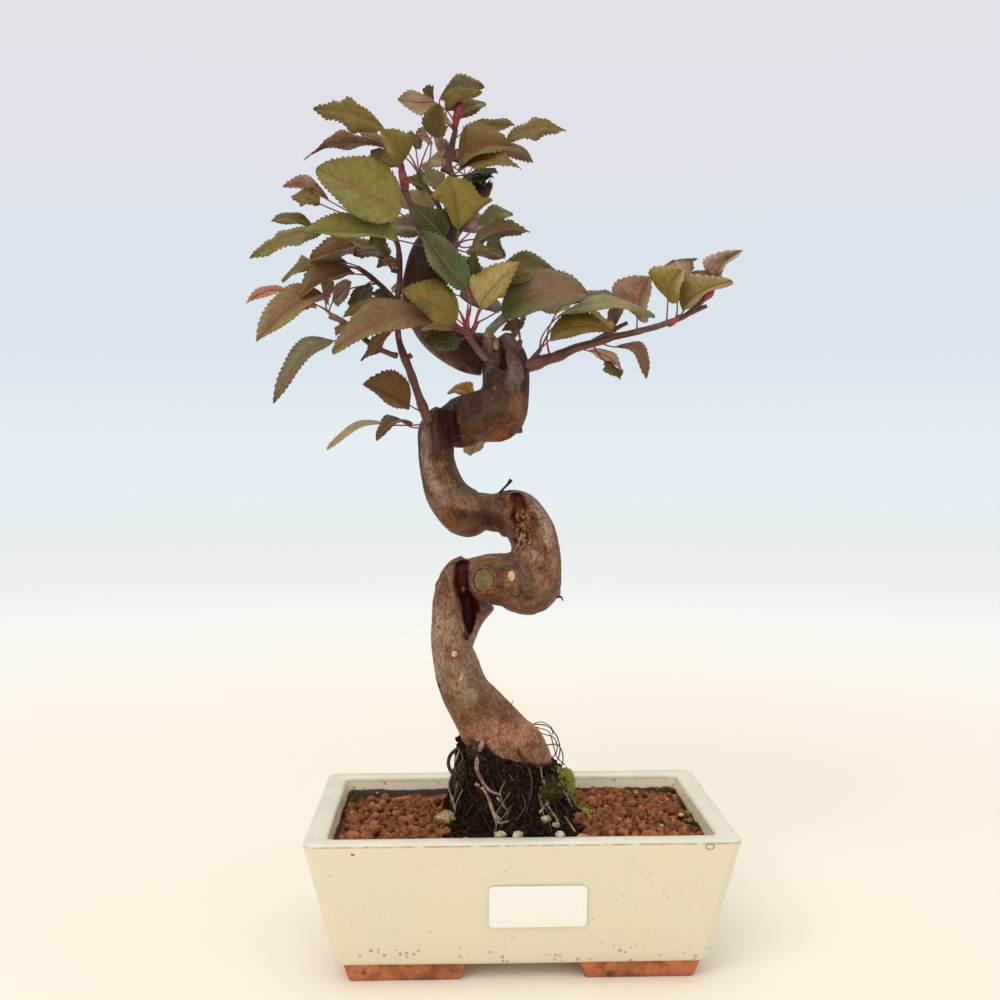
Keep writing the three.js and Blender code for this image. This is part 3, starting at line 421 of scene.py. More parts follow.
def makeSky():
    world = bpy.data.worlds.new("air")
    scene.world = world
    world.use_nodes = True
    tree = world.node_tree
    tree.nodes.clear()
    height = axisOf(tree, addNode(tree, "ShaderNodeTexCoord").outputs["Generated"], "Z")
    lower = mixTone(tree, ease(tree, height, 0.0, 0.08), stage["skyLow"], stage["skyMiddle"])
    sky = mixTone(tree, ease(tree, height, 0.08, 0.34), lower, stage["skyHigh"])
    seen = addNode(tree, "ShaderNodeBackground", {"Color": sky, "Strength": 1.0})
    strength = ease(tree, height, -0.1, 0.8, stage["skySide"], stage["skyTop"])
    light = addNode(tree, "ShaderNodeBackground", {"Color": tone(stage["skyLight"]), "Strength": strength})
    direct = addNode(tree, "ShaderNodeLightPath").outputs["Is Camera Ray"]
    air = addNode(tree, "ShaderNodeMixShader", {0: direct, 1: light.outputs[0], 2: seen.outputs[0]})
    addNode(tree, "ShaderNodeOutputWorld", {"Surface": air.outputs[0]})


def addLight(name, at, size, power):
    data = bpy.data.lights.new(name, "AREA")
    data.shape = "DISK"
    data.size = size
    data.energy = power
    data.color = stage["lampTone"]
    light = bpy.data.objects.new(name, data)
    backward = Vector(at) - Vector(stage["lampAim"])
    light.matrix_world = backward.to_track_quat("Z", "Y").to_matrix().to_4x4()
    light.location = at
    light.visible_camera = False
    scene.collection.objects.link(light)


def buildFloor(tree, surface, place):
    reach = addNode(tree, "ShaderNodeVectorMath", {0: place}, operation="LENGTH").outputs["Value"]
    colour = mixTone(tree, ease(tree, reach, 0.3, 1.8), stage["floorNear"], stage["floorFar"])
    fade = ease(tree, reach, 0.25 * stage["floorRadius"], 0.95 * stage["floorRadius"], 1, 0)
    glow = ease(tree, reach, 0.25, 1.4, stage["glowNear"], stage["glowFar"])
    feed(tree, surface, {"Base Color": colour, "Alpha": fade, "Roughness": 0.6, "Specular IOR Level": 0.1,
                         "Emission Color": colour, "Emission Strength": glow})


def makeFloor():
    bm = bmesh.new()
    bmesh.ops.create_circle(bm, cap_ends=True, segments=96, radius=stage["floorRadius"])
    mesh = toMesh(bm, "floor")
    floor = bpy.data.objects.new("floor", mesh)
    mesh.materials.append(makeMaterial("floorPaper", buildFloor))
    scene.collection.objects.link(floor)


makeCamera()
makeSky()
for lampName, lamp in stage["lamps"].items():
    addLight(lampName, *lamp)
makeFloor()
scene.view_settings.view_transform = "Standard"
print("stage ready")


# Pot
pot = {
    "rim": 11.7 * mm,
    "taper": 13.2 * mm,
    "endTaper": 15.2 * mm,
    "corner": 6 * mm,
    "footHeight": 9.7 * mm,
    "floor": 18 * mm,
    "wobble": 0.35 * mm,
    "drainAcross": 55 * mm,
    "drainHoles": ((8, 0), (1.1, -12), (1.1, 12)),  # radius, and place from front to back, in mm
    "rimStart": (0.0745, 0.0757),
    "breakLine": 0.0747,
    "lipLine": 0.0738,
    "innerEdge": (0.0108, 0.0116),
    "soilLine": (0.0676, 0.0685),
    "cream": "eadfc4",
    "celadon": "e0e0ca",
    "ivory": "ece6d2",
    "rimLine": "a87a55",
    "speck": "9a7f62",
    "grime": "5c3c28",
    "clay": "c8764a",
    "clayDark": "8a4e2c",
    "stain": "3c3f2c",
    "wallDarkening": "1f170f",
    "blister": (94.1 * mm, 73.1 * mm),  # right of the middle, and up
    "blisterTone": "94604c",
    "fleck": (-86 * mm, 70.9 * mm),
    "fleckTone": "45352a",
}
potLow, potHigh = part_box("pot")
potWidth = potHigh.x - potLow.x
potDepth = potHigh.y - potLow.y
potHeight = potHigh.z


def leanAt(z, taper="taper"):
    return pot[taper] * (potHeight - z) / (potHeight - pot["footHeight"])


# How far a point lies inside the pot's outer edge, straight from above
def rimSide(tree, place):
    x = distance(tree, axisOf(tree, place, "X"), potMiddle.x)
    y = distance(tree, axisOf(tree, place, "Y"), potMiddle.y)
    endSide = maths(tree, "SUBTRACT", potWidth / 2, x)
    return maths(tree, "MINIMUM", endSide, maths(tree, "SUBTRACT", potDepth / 2, y))


# Distance from a mark on the front wall, on ovals a little wider than high
def markReach(tree, place, across, up):
    front = potMiddle.y - potDepth / 2 + leanAt(up)
    at = (0.73 * (potMiddle.x + across), 0.05 * front, up)
    oval = stretch(tree, place, (0.73, 0.05, 1))
    return addNode(tree, "ShaderNodeVectorMath", {0: oval, 1: at}, operation="DISTANCE").outputs["Value"]


def buildGlaze(tree, surface, place):
    height = axisOf(tree, place, "Z")
    clouds = useGroup(tree, cloudGroup, place, Scale=26, From=0.35, To=0.75)
    colour = mixTone(tree, times(tree, clouds, 0.5), pot["cream"], pot["celadon"])
    top = ease(tree, height, *pot["rimStart"])
    clearTop = useGroup(tree, cloudGroup, place, Scale=34, From=0.4, To=0.6)
    rim = mixTone(tree, clearTop, pot["ivory"], pot["celadon"])
    colour = mixTone(tree, top, colour, rim)
    # The glaze breaks brown where it is thin, along the rim's outer edge
    near = distance(tree, height, pot["breakLine"])
    broken = useGroup(tree, cloudGroup, place, Scale=150, From=0.3, To=0.55)
    outer = ease(tree, rimSide(tree, place), 0.006, 0.009, 1, 0.25)
    edge = times(tree, ease(tree, near, 0.0001, 0.0008, 0.7, 0), times(tree, broken, outer))
    colour = mixTone(tree, edge, colour, pot["rimLine"])
    tall = stretch(tree, place, (1, 1, 0.24))
    cracks = useGroup(tree, crackGroup, tall, Scale=210, Width=0.03)
    patches = useGroup(tree, cloudGroup, place, Scale=45, From=0.4, To=0.6)
    cracks = times(tree, times(tree, cracks, patches), 0.11)
    colour = mixTone(tree, cracks, colour, pot["rimLine"])
    specks = useGroup(tree, spotGroup, place, Scale=420, Size=0.2, Share=0.06)
    colour = cover(tree, colour, specks, 0.9, pot["speck"])
    inside = ease(tree, rimSide(tree, place), *pot["innerEdge"])
    lip = distance(tree, height, pot["lipLine"])
    lip = times(tree, times(tree, inside, broken), ease(tree, lip, 0.0001, 0.0004, 0.5, 0))
    colour = mixTone(tree, lip, colour, pot["grime"])
    # The inner wall darkens to near black below a wavering line at the soil, and dark spots fleck it below
    # the lip
    grime = useGroup(tree, cloudGroup, place, Scale=90, From=0.25, To=0.75)
    wallDarkening = maths(tree, "SUBTRACT", height, times(tree, grime, 0.0016))
    wall = times(tree, ease(tree, height, 0.045, 0.05), ease(tree, wallDarkening, *pot["soilLine"], 0.95, 0))
    dirt = useGroup(tree, spotGroup, place, Scale=330, Size=0.42, Share=0.3)
    dirt = times(tree, times(tree, dirt, ease(tree, height, 0.0733, 0.0738, 0.75, 0)), grime)
    wall = maths(tree, "MAXIMUM", wall, dirt)
    colour = cover(tree, colour, wall, inside, pot["wallDarkening"])
    ring = distance(tree, markReach(tree, place, *pot["blister"]), 0.0015)
    ring = times(tree, ease(tree, ring, 0.0001, 0.0005, 0.8, 0), ease(tree, broken, 0, 1, 0.5, 1))
    colour = mixTone(tree, ring, colour, pot["blisterTone"])
    fleck = ease(tree, markReach(tree, place, *pot["fleck"]), 0.0005, 0.0009, 0.85, 0)
    colour = mixTone(tree, fleck, colour, pot["fleckTone"])
    waves = useGroup(tree, reliefGroup, place, Coarse=60, Fine=600, Grain=0.06)
    gloss = ease(tree, clouds, 0, 1, 0.28, 0.36)
    feed(tree, surface, {"Base Color": colour, "Roughness": gloss, "Coat Weight": 0.2,
                         "Coat Roughness": 0.15}, waves, 0.1)


def buildClay(tree, surface, place):
    clouds = useGroup(tree, cloudGroup, place, Scale=90, From=0.4, To=0.65)
    colour = mixTone(tree, clouds, pot["clay"], pot["clayDark"])
    low = ease(tree, axisOf(tree, place, "Z"), 0, 0.007, 0.2, 0)
    stains = useGroup(tree, cloudGroup, place, Scale=140, From=0.52, To=0.66)
    stains = times(tree, maths(tree, "ADD", stains, low), 0.7)
    colour = mixTone(tree, stains, colour, pot["stain"])
    grit = useGroup(tree, reliefGroup, place, Coarse=500, Fine=2200, Grain=0.5)
    feed(tree, surface, {"Base Color": colour, "Roughness": 0.85}, grit, 0.4)


# Scale a level ring to its size at a height. A level is (inset from the leaning wall, height).
def setLevel(face, inset, z):
    verts = face.verts
    width = max(v.co.x for v in verts) - min(v.co.x for v in verts)
    depth = max(v.co.y for v in verts) - min(v.co.y for v in verts)
    halfX, halfY = potWidth / 2 - leanAt(z, "endTaper") - inset, potDepth / 2 - leanAt(z) - inset
    scale = Vector((2 * halfX / width, 2 * halfY / depth, 1))
    for v in verts:
        v.co = Vector((v.co.x * scale.x, v.co.y * scale.y, z))


def makePotBody():
    bm = bmesh.new()
    bmesh.ops.create_grid(bm, x_segments=1, y_segments=1, size=0.5)
    bmesh.ops.scale(bm, vec=(potWidth, potDepth, 1), verts=bm.verts)
    bmesh.ops.bevel(bm, geom=bm.verts[:], offset=pot["corner"], offset_type="OFFSET", segments=8,
                    profile=0.5, affect="VERTICES", material=-1)
    longEdges = [e for e in bm.edges if e.calc_length() > 4 * pot["corner"]]
    bmesh.ops.subdivide_edges(bm, edges=longEdges, cuts=14)
    top, rim, foot = potHeight, pot["rim"], pot["footHeight"]
    wall = [(0, foot + (top - foot) * share) for share in (0.09, 0.3, 0.5, 0.7, 0.86, 0.95)]
    levels = [
        (3.4 * mm, foot - 1.2 * mm), (1.6 * mm, foot - 0.9 * mm), (0.5 * mm, foot), (0, foot + 1.4 * mm),
        *wall,
        (0, top - 1.9 * mm), (0.25 * mm, top - 0.9 * mm), (0.8 * mm, top - 0.3 * mm), (1.7 * mm, top),
        (rim * 0.5, top + 0.1 * mm), (rim - 1.7 * mm, top), (rim - 0.7 * mm, top - 0.35 * mm),
        (rim - 0.15 * mm, top - 1.1 * mm), (rim, top - 2 * mm), (rim, top - 10 * mm),
        (rim, pot["floor"] + 6 * mm), (rim + 6 * mm, pot["floor"]),
    ]
    face = bm.faces[:][0]
    setLevel(face, *levels[0])
    for inset, z in levels[1:]:
        face = bmesh.ops.extrude_discrete_faces(bm, faces=[face])["faces"][0]
        setLevel(face, inset, z)
    opening = [e for e in bm.edges if e.is_boundary]
    bmesh.ops.contextual_create(bm, geom=opening)
    bmesh.ops.recalc_face_normals(bm, faces=bm.faces)
    for v in bm.verts:
        drift = noise.noise_vector(Vector((v.co.x, v.co.y, v.co.z * 0.5)) * 22)
        v.co += Vector((drift.x, drift.y, 0.6 * drift.z)) * pot["wobble"]
    bmesh.ops.translate(bm, vec=potMiddle, verts=bm.verts)
    shell = toMesh(bm, "potBody")
    drills = bmesh.new()
    for side in (-1, 1):
        for radius, y in pot["drainHoles"]:
            spot = Matrix.Translation(potMiddle + Vector((side * pot["drainAcross"], y * mm, 14 * mm)))
            bmesh.ops.create_cone(drills, cap_ends=True, segments=32, radius1=radius * mm,
                                  radius2=radius * mm, depth=20 * mm, matrix=spot)
    drill = bpy.data.objects.new("drill", toMesh(drills, "drill"))
    scene.collection.objects.link(drill)
    bored = applied("potBored", shell, ("BOOLEAN", {"operation": "DIFFERENCE", "object": drill}))
    bpy.data.objects.remove(drill)
    bored.set_sharp_from_angle(angle=math.radians(50))
    return addPiece("potGlazed", bored, ["pot"], [makeMaterial("glaze", buildGlaze)])


def makeFeet():
    bm = bmesh.new()
    length, width, slope, sink = 65.5 * mm, 34 * mm, 4.5 * mm, 3 * mm
    height = pot["footHeight"] + sink
    for sideX in (-1, 1):
        for sideY in (-1, 1):
            x = sideX * (28 * mm + length / 2)
            y = sideY * (potDepth / 2 - leanAt(pot["footHeight"]) - 0.8 * mm - width / 2)
            at = potMiddle + Vector((x, y, height / 2))
            block = Matrix.Translation(at) @ Matrix.Diagonal((length, width, height, 1))
            verts = bmesh.ops.create_cube(bm, size=1, matrix=block)["verts"]
            for v in verts:
                if v.co.z < height / 2:
                    v.co.x -= math.copysign(slope, v.co.x - at.x)
                    v.co.y -= math.copysign(slope / 2, v.co.y - at.y)
    bmesh.ops.bevel(bm, geom=bm.edges[:], offset=1.3 * mm, offset_type="OFFSET", segments=3,
                    profile=0.5, affect="EDGES", material=-1)
    bmesh.ops.subdivide_edges(bm, edges=[e for e in bm.edges if e.calc_length() > 6 * mm], cuts=7,
                              use_grid_fill=True)
    for v in bm.verts:
        lift = smooth(v.co.z / (2 * mm))
        drift = noise.noise_vector(v.co * 160) * 0.25 * mm
        v.co += Vector((drift.x, drift.y, drift.z * lift))
        v.co.z = max(v.co.z, 0)
    return addPiece("potFeet", toMesh(bm, "potFeet", 50), ["pot"],
                    [makeMaterial("bareClay", buildClay)])


makePotBody()
makeFeet()
print("pot ready")


# Label, drain meshes and their wires keep their own solids
smallParts = {
    "paper": ("fbfaf6", "d8d2c4"),
    "plastic": ("2b2d2b", "6b4a37"),
    "wire": ("8f8577", "5f4a3a"),
}


def buildWire(tree, surface, place):
    oxide = useGroup(tree, cloudGroup, place, Scale=500, From=0.45, To=0.6)
    colour = mixTone(tree, oxide, *smallParts["wire"])
    rough = ease(tree, oxide, 0, 1, 0.35, 0.7)
    feed(tree, surface, {"Base Color": colour, "Roughness": rough, "Metallic": 1.0})


def dressSmallParts():
    finishes = {
        "label_blank": plainFinish("labelPaper", smallParts["paper"], dict(Scale=700, From=0.35, To=0.7),
                                   dict(Coarse=90, Fine=1500, Grain=0.15), 0.12, 0.42, 0.05),
        "drain_mesh": plainFinish("drainPlastic", smallParts["plastic"], dict(Scale=300, From=0.5, To=0.7),
                                  dict(Coarse=800, Fine=2500, Grain=0.4), 0.15, 0.55, 0.5),
        "drain_wire": makeMaterial("tieWire", buildWire),
    }
    for name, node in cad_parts.items():
        for start, finish in finishes.items():
            if name.startswith(start):
                node.data.materials.clear()
                node.data.materials.append(finish)


dressSmallParts()
print("label and drain meshes dressed")


# Trunk
trunk = {
    "voxel": 0.88 * mm,
    "lump": 0.7 * mm,
    "lumpScale": 62,
    "flute": 0.28 * mm,
    "fluteScale": 190,
    "skin": 0.14 * mm,
    "skinScale": 620,
    "shelterWays": 7,
    "shelterReach": 16 * mm,
    "paintedShadeTone": (0.46, 0.56, 0.62),
    "pale": "b39c8a",
    "lenticel": "c9ab8c",
    "algae": "7d7a4e",
    "woundSplinters": 120,
    "stubSplinters": 40,
    "topSplinters": 34,
    "smoothing": 5,
    "filletRounds": 14,
}
# Limbs from the root up, as marks of across, down, depth and radius
trunkBends = [
    "511,788,5,42 507,762,3,44 486,721,0,30.5 466,693,-3,25 456.5,667,-4,23 450.5,642,-4,19.5 "
    "448,615,-1,16.5 450,592,1,15 457,574,3,14.5 468,567,5,14",
    "500,722,0,10 521,734,-2,15 529,748,-3,18 530,766,-3,21",
    "460,655,2,9 466,634,5,11 472,616,6,14 481,600,5,17",
    "466,573,8,15 484,578,-1,24.5 510,580,-9,27 532,586,-11,28 538,563,-9,23.5 535,545,-5,23.5 "
    "529,528,0,23.5 515,512,5,22.5 496,513,10,19.5 484,512,9,19 468,513,6,24.5 453.5,502,1,22.5 "
    "445,489,-2,20.7 437.5,465,-4,18.6 435.5,450,-3,17.8 437,431,1,18.5 447,419,5,19.5",
    "440,428,8,17 457,424,9,25 472,418.5,5,25.5 488,415,-1,27 499,412,-6,28 505,393,-5,24 "
    "506,375,-3,23.5 505,358,0,22 501,347,1,17 497,339,1,12",
    "499,356,-2,11 490,343,-6,9 486,333,-8,7",
    "505,352,0,13 507,341,1,9 503,334,1,5",
    "485,355,15,21.5 462,350,15,20 440,334,12,20.5 428,312,7,22 425,287,2,23 428,263,0,21 "
    "437,241,3,17.5 452,222,9,15 468,205,10,13.5 478,191,8,12.5 482,184,7,11",
    "444,586,2,6 437.5,585,0,4",
    "498,512,8,18 506,523,5,13 511,534,3,9",
    "552,590,-8,10 559,597,-8,4",
]
# Places where limbs grow into each other: radius and mark
trunkFillets = [
    (17, (470, 562)), (17, (512, 540)), (16, (506, 490)), (18, (440, 408)), (15, (486, 384)),
    (14, (500, 345)), (14, (476, 604)), (18, (540, 545)), (16, (470, 745)), (14, (512, 718)),
]
# Hollows pressed in away from the front: depth in mm, radius and the marks of their line
barkHollows = [
    "5 9 463,567 463,582 466,600 469,613 467,627",
    "4 9 469,596 471,608",
    "3 5 467,627 466,636",
    "2.4 9.5 447,404 446,420 447,438 452,450",
    "4.5 8 516,497 520,509 518,518",
    "1.8 3.6 439,686",
]
barkTones = {
    "base": "c88466", "mauve": "a8866a", "mid": "8c5c3a", "brown": "6e462c", "upper": "50301c",
    "dark": "3a2216", "crown": "402616", "rust": "8a4618", "orange": "b87038", "black": "120b08",
    "olive": "6b6238", "deepOlive": "4d4026", "redBrown": "57221a",
    "grey": "83766a", "tan": "a27a55", "rot": "7a4a2c", "cavity": "5c2014", "pink": "a87a6e",
    "hollow": "6a2016", "highlight": "c4aa98", "band": "3c130d",
}
# Bark tones up the trunk: mark down, tone. The darker upper tones are partly the bark's own colour and
# partly painted shade under the leaves.
barkHeights = [
    (770, "base"), (725, "base"), (700, "mid"), (670, "mauve"), (620, "mauve"), (585, "mid"), (540, "mid"),
    (500, "brown"), (450, "upper"), (400, "upper"), (360, "crown"), (300, "crown"), (200, "dark"),
]
# Shapes cut into the bark or raised from it: height in mm, radius and the marks of its line
barkRelief = [
    "-1.5 12 484,580", "1.1 5 475,590 472,580 477,571 486,568", "1.6 4 487,568 495,574 496,584 490,592",
    "-1.2 4.5 511,576", "1 3.5 505,568 517,569 518,584 507,586", "1.2 4.5 454,653",
    "0.8 4 446,616 451,614 456,617", "0.7 3.5 438,627", "0.8 4 461,679", "0.9 4 489,603", "0.8 4 518,592",
    "-1.4 3.5 515,562 523,576 520,590 530,600", "-1.1 3 526,566 534,582", "0.9 3 530,570 527,584",
    "1.2 5 436,412 435,432 438,448", "1.2 4 459,404 460,425 462,444", "1 5 495,388",
    "1.2 5 503,505 507,516", "1.6 7 526,517 527,530 522,541", "-1.8 3.5 527,524 529,531",
    "-1.2 3 531,518 540,520 546,517", "-3.2 5 500,333 502,350 503,366", "2.4 8 488,338 489,352 490,368",
    "0.9 5 482,610 500,607 520,610", "0.8 8 500,705 512,722", "-4.2 13 464,443 474,443 482,443",
    "2.4 9 500,437 508,434", "2.2 4.5 519,430", "-3.2 8 464,370 468,374", "2.4 6 448,369", "1.8 5 435,359",
    "1.6 5 420,344", "-0.9 6 478,735 486,752", "-0.8 6 505,735 510,752",
]
# Strokes of colour on the bark: tone, strength, radius and the marks of its line. The highlight strokes,
# and some grey and mauve ones on lit sides, are painted highlights; the black strokes in the cavity,
# hollows and grooves are painted shade.
barkPaint = [
    "highlight 0.3 9 441,675 438,645 442,612",
    # Partly mauve bark, partly a painted highlight on the left of the lower column
    "mauve 0.7 14 462,700 454,680 449,655",
    "highlight 0.6 10 472,695 466,664",
    # A painted highlight on the lit left of the middle limb, partly its mauve bark
    "mauve 0.5 10 438,470 446,488",
    "brown 0.5 10 512,588 530,592",
    # A painted highlight on the lit top of the upper limb
    "grey 0.55 9 511,356 518,370 514,384",
    "grey 0.5 7 488,342 489,368",
    "olive 0.4 13 458,700 466,712 478,716",
    # Partly olive bark, partly painted shade down the right side of the lower column
    "deepOlive 0.45 9 484,700 472,675 465,652",
    "base 0.7 18 480,738 505,745 530,748",
    "redBrown 0.35 7 465,722 490,712 515,722",
    "olive 0.5 14 500,752 522,758 540,752",
    "pink 0.5 6 492,722 503,745",
    "pink 0.4 5 470,728 474,740",
    "pink 0.4 5 528,730 540,750",
    "black 0.8 5 457,736 470,741 484,748 497,762 510,770 530,768 551,764",
    "rust 0.6 4 449,647 447,656 455,661 461,653",
    "cavity 0.97 9.5 463,566 463,582 466,600 469,613 467,627",
    "cavity 0.97 9 470,596 472,608",
    "cavity 0.97 5 467,627 466,636",
    # Painted shade down the crease of the cavity
    "black 0.7 4 468,572 468,590 473,604 472,616 468,630",
    "pink 0.5 2.5 452,566 451,585 456,605 461,625",
    "rust 0.6 5 438,585",
    # Painted shade in a small hole
    "black 0.8 3 439,686",
    "deepOlive 0.55 14 500,563 520,573 524,590",
    "deepOlive 0.4 9 482,600 505,600",
    "olive 0.35 8 497,570 503,590",
    "rust 0.55 10 492,606 515,610 540,612",
    "tan 0.4 4 500,612 525,614",
    "highlight 0.7 9 538,508 547,522 550,540",
    # Partly mauve bark, partly a painted highlight down the right coil
    "mauve 0.5 8 552,548 552,570",
    "redBrown 0.25 8 540,556 546,566",
    "highlight 0.4 7 538,560 530,552 524,548",
    "pink 0.4 6 542,578 552,588",
    "mauve 0.4 6 480,557 500,556 512,553",
    "redBrown 0.4 4 559,560",
    "deepOlive 0.5 9 536,600 550,596",
    "hollow 0.97 9.5 517,498 521,511 522,526 518,541",
    # Painted shade in the top of the wound's hollow
    "black 0.4 2.5 513,496 515,514",
    "grey 0.6 5 498,502 506,514",
    "orange 0.7 4 504,490 509,497 511,508",
    "rot 0.97 8.5 525,516 525,530 520,541",
    # Painted shade in a sunken spot of the wound
    "black 0.55 3 526,524 529,530",
    "redBrown 0.7 8 500,522 508,530 510,540",
    "redBrown 0.6 4 534,514 535,530 528,543",
    "redBrown 0.6 6 500,572 504,588",
    "orange 0.5 3.5 506,573 507,583",
    "redBrown 0.6 3.5 453,572 455,588 460,606 464,622",
    "rust 0.7 10 408,322 420,346 436,362 450,372",
    "black 0.6 4 478,372 484,366",
    "rust 0.6 13 440,506 452,526 466,535 484,528",
    "deepOlive 0.55 10 462,515 478,518 492,520",
    "highlight 0.55 7 425,432 424,455 430,480 444,500",
    "mauve 0.45 9 447,492 462,502 478,502",
    "deepOlive 0.45 6 450,470 456,484 466,492",
    "pink 0.6 3 463,506 468,508",
    "band 0.97 10.5 451,404 450,420 450,434 453,444",
    "rust 0.7 1.8 456,402 459,420 461,442",
    "rust 0.65 12 487,440 505,436 520,424",
    "orange 0.4 12 500,430 514,418 520,402",
    "rust 0.7 5 512,433 518,428",
    "redBrown 0.5 7 512,430",
    "deepOlive 0.5 14 480,418 500,415",
    "redBrown 0.6 3 495,388",
    "grey 0.5 7 507,338 513,350",
    "orange 0.6 4 493,336 496,346",
    # Painted shade along a groove
    "black 0.85 4.5 499,334 501,350 503,366",
    "rust 0.6 3.5 497,345 498,360",
    "deepOlive 0.4 9 490,372 492,384",
    "rust 0.5 9 430,352 448,366 466,372",
    "black 0.75 9 476,188 490,184",
    "band 0.85 9 430,285 441,288 450,300",
    "redBrown 0.35 10 406,300 408,275 412,255",
    "band 0.65 9 470,614 484,606 500,604",
    "band 0.55 12 505,452 490,450 474,452",
    "band 0.35 16 497,424 516,426",
    "band 0.4 12 470,520 484,522 498,524",
    "dark 0.35 14 492,362 496,378",
]
# Fine cracks and flakes, in pixels of half width, tone and marks
barkLines = [
    "0.54 crack 514,561 521,569 524,577", "0.48 crack 519,588 524,596 532,600",
    "0.42 crack 525,565 531,572 534,582", "0.36 crack 508,590 514,596", "0.36 crack 528,590 536,594",
    "0.3 crack 497,596 506,601", "0.3 crack 540,603 547,599", "0.36 crack 532,560 530,552 533,545",
    "0.42 crack 531,517 538,520 546,517", "0.3 crack 536,523 543,527", "0.36 crack 480,720 474,735 471,750",
    "0.3 crack 499,726 508,742 513,756", "0.3 crack 519,727 527,741 531,752",
    "0.3 crack 489,714 484,730 486,742", "0.3 crack 452,634 458,632", "0.3 crack 446,672 453,675",
    "0.3 crack 437,470 442,478", "0.3 crack 427,447 433,449", "0.3 crack 470,498 480,501",
    "0.36 crack 499,366 503,350 501,336", "0.3 crack 511,362 513,350 509,340", "0.3 crack 509,404 515,412",
    "0.3 crack 466,412 472,421", "0.7 barkLip 484,741 497,735 506,726",
    "0.8 crack 494.5,580 492,589 484,593 476,589 473,580 476,571 484,567.5 492,571 494.5,580",
    "0.9 barkLip 452,641 456,639 458,643", "0.8 barkLip 448,675 453,678",
]
# Round cuts: mark, half width across and down, tone, lip
barkCuts = [
    "484,580 11.4 12.4 oliveWood 0.7", "511.5,576 3.6 5.2 freshWood 0.6", "454.5,654 3.2 3.4 freshWood 1.1",
    "489,332 8 5.5 yellowWood 0.6", "496,344 2.6 6 yellowWood 0.5", "515,592 2.6 3 barkLip 0.6",
    "439,585 3 3.5 barkLip 0.7",
]
# Knobs and old bud scars: mark, radius, tone
barkKnobs = [
    "446,617 1.7 barkLip", "450,614 1.5 barkLip", "456,616 1.6 barkLip", "438,627 1.6 barkLip",
    "461,679 1.7 freshWood", "489,603 1.8 barkLip", "518,592 1.6 barkLip", "495,388 1.9 barkLip",
    "447,650 1.8 barkLip", "463,589 3.2 barkLip", "474,700 1.2 barkLip", "452,700 1.1 barkLip",
    "444,460 1.3 barkLip", "428,470 1.2 barkLip", "548,553 1.3 barkLip", "540,580 1.4 barkLip",
    "521,370 1.4 barkLip", "508,425 1.5 barkLip", "478,740 1.5 freshWood", "559,599 2.2 barkLip",
    "556,604 1.4 crack",
]


def hit(bvh, across, down):
    ray = sight(across, down).normalized()
    spot, normal, _, _ = bvh.ray_cast(eye, ray)
    return spot, normal


# How far each point lies from a line of marks that is drawn on a surface, as a share of its radius
def nearness(points, bvh, radius, marks):
    spots = [s for s in (hit(bvh, *mark)[0] for mark in marks) if s]
    if not spots:
        return np.full(len(points), 9.0)
    spots = [np.array(s) for s in spots]
    best = np.full(len(points), 9.0)
    reach = spanAt(radius, Vector(spots[0]))
    for a, b in zip(spots, spots[1:] or spots):
        along = b - a
        share = np.clip((points - a) @ along / max(along @ along, 1e-12), 0, 1)
        away = np.linalg.norm(points - a - share[:, None] * along, axis=1)
        best = np.minimum(best, away / reach)
    return best


# Sideways, around and along each limb, so that streaks follow the wood
def flowOf(points, lines):
    samples = []
    for number, line in enumerate(lines):
        along, across = 0.35 * number, None
        for i, row in enumerate(line):
            at = Vector(row[:3])
            forward = Vector(line[min(i + 1, len(line) - 1)][:3]) - Vector(line[max(i - 1, 0)][:3])
            forward.normalize()
            across = across or forward.orthogonal()
            across = (across - forward * across.dot(forward)).normalized()
            if i:
                along += (at - samples[-1][0]).length
            samples.append((at, forward, across, along, row[3]))
    tree = kdtree.KDTree(len(samples))
    for i, sample in enumerate(samples):
        tree.insert(sample[0], i)
    tree.balance()
    flow = np.zeros((len(points), 3))
    for k, point in enumerate(points):
        point = Vector(point)
        near = min(tree.find_n(point, 6), key=lambda found: found[2] - 0.6 * samples[found[1]][4])
        at, forward, across, along, _ = samples[near[1]]
        out = point - at
        flow[k] = out.dot(across), out.dot(forward.cross(across)), along + out.dot(forward)
    return flow


def largestBody(bm):
    left, best = set(bm.verts), []
    while left:
        body, queue = [], [left.pop()]
        while queue:
            v = queue.pop()
            body.append(v)
            for e in v.link_edges:
                other = e.other_vert(v)
                if other in left:
                    left.discard(other)
                    queue.append(other)
        best = max(best, body, key=len)
    keep = set(best)
    bmesh.ops.delete(bm, geom=[v for v in bm.verts if v not in keep], context="VERTS")


def setAttribute(mesh, name, kind, values):
    layer = mesh.attributes.new(name, kind, "POINT")
    layer.data.foreach_set({"FLOAT_COLOR": "color", "FLOAT_VECTOR": "vector", "FLOAT": "value"}[kind],
                           np.asarray(values, np.float32).ravel())


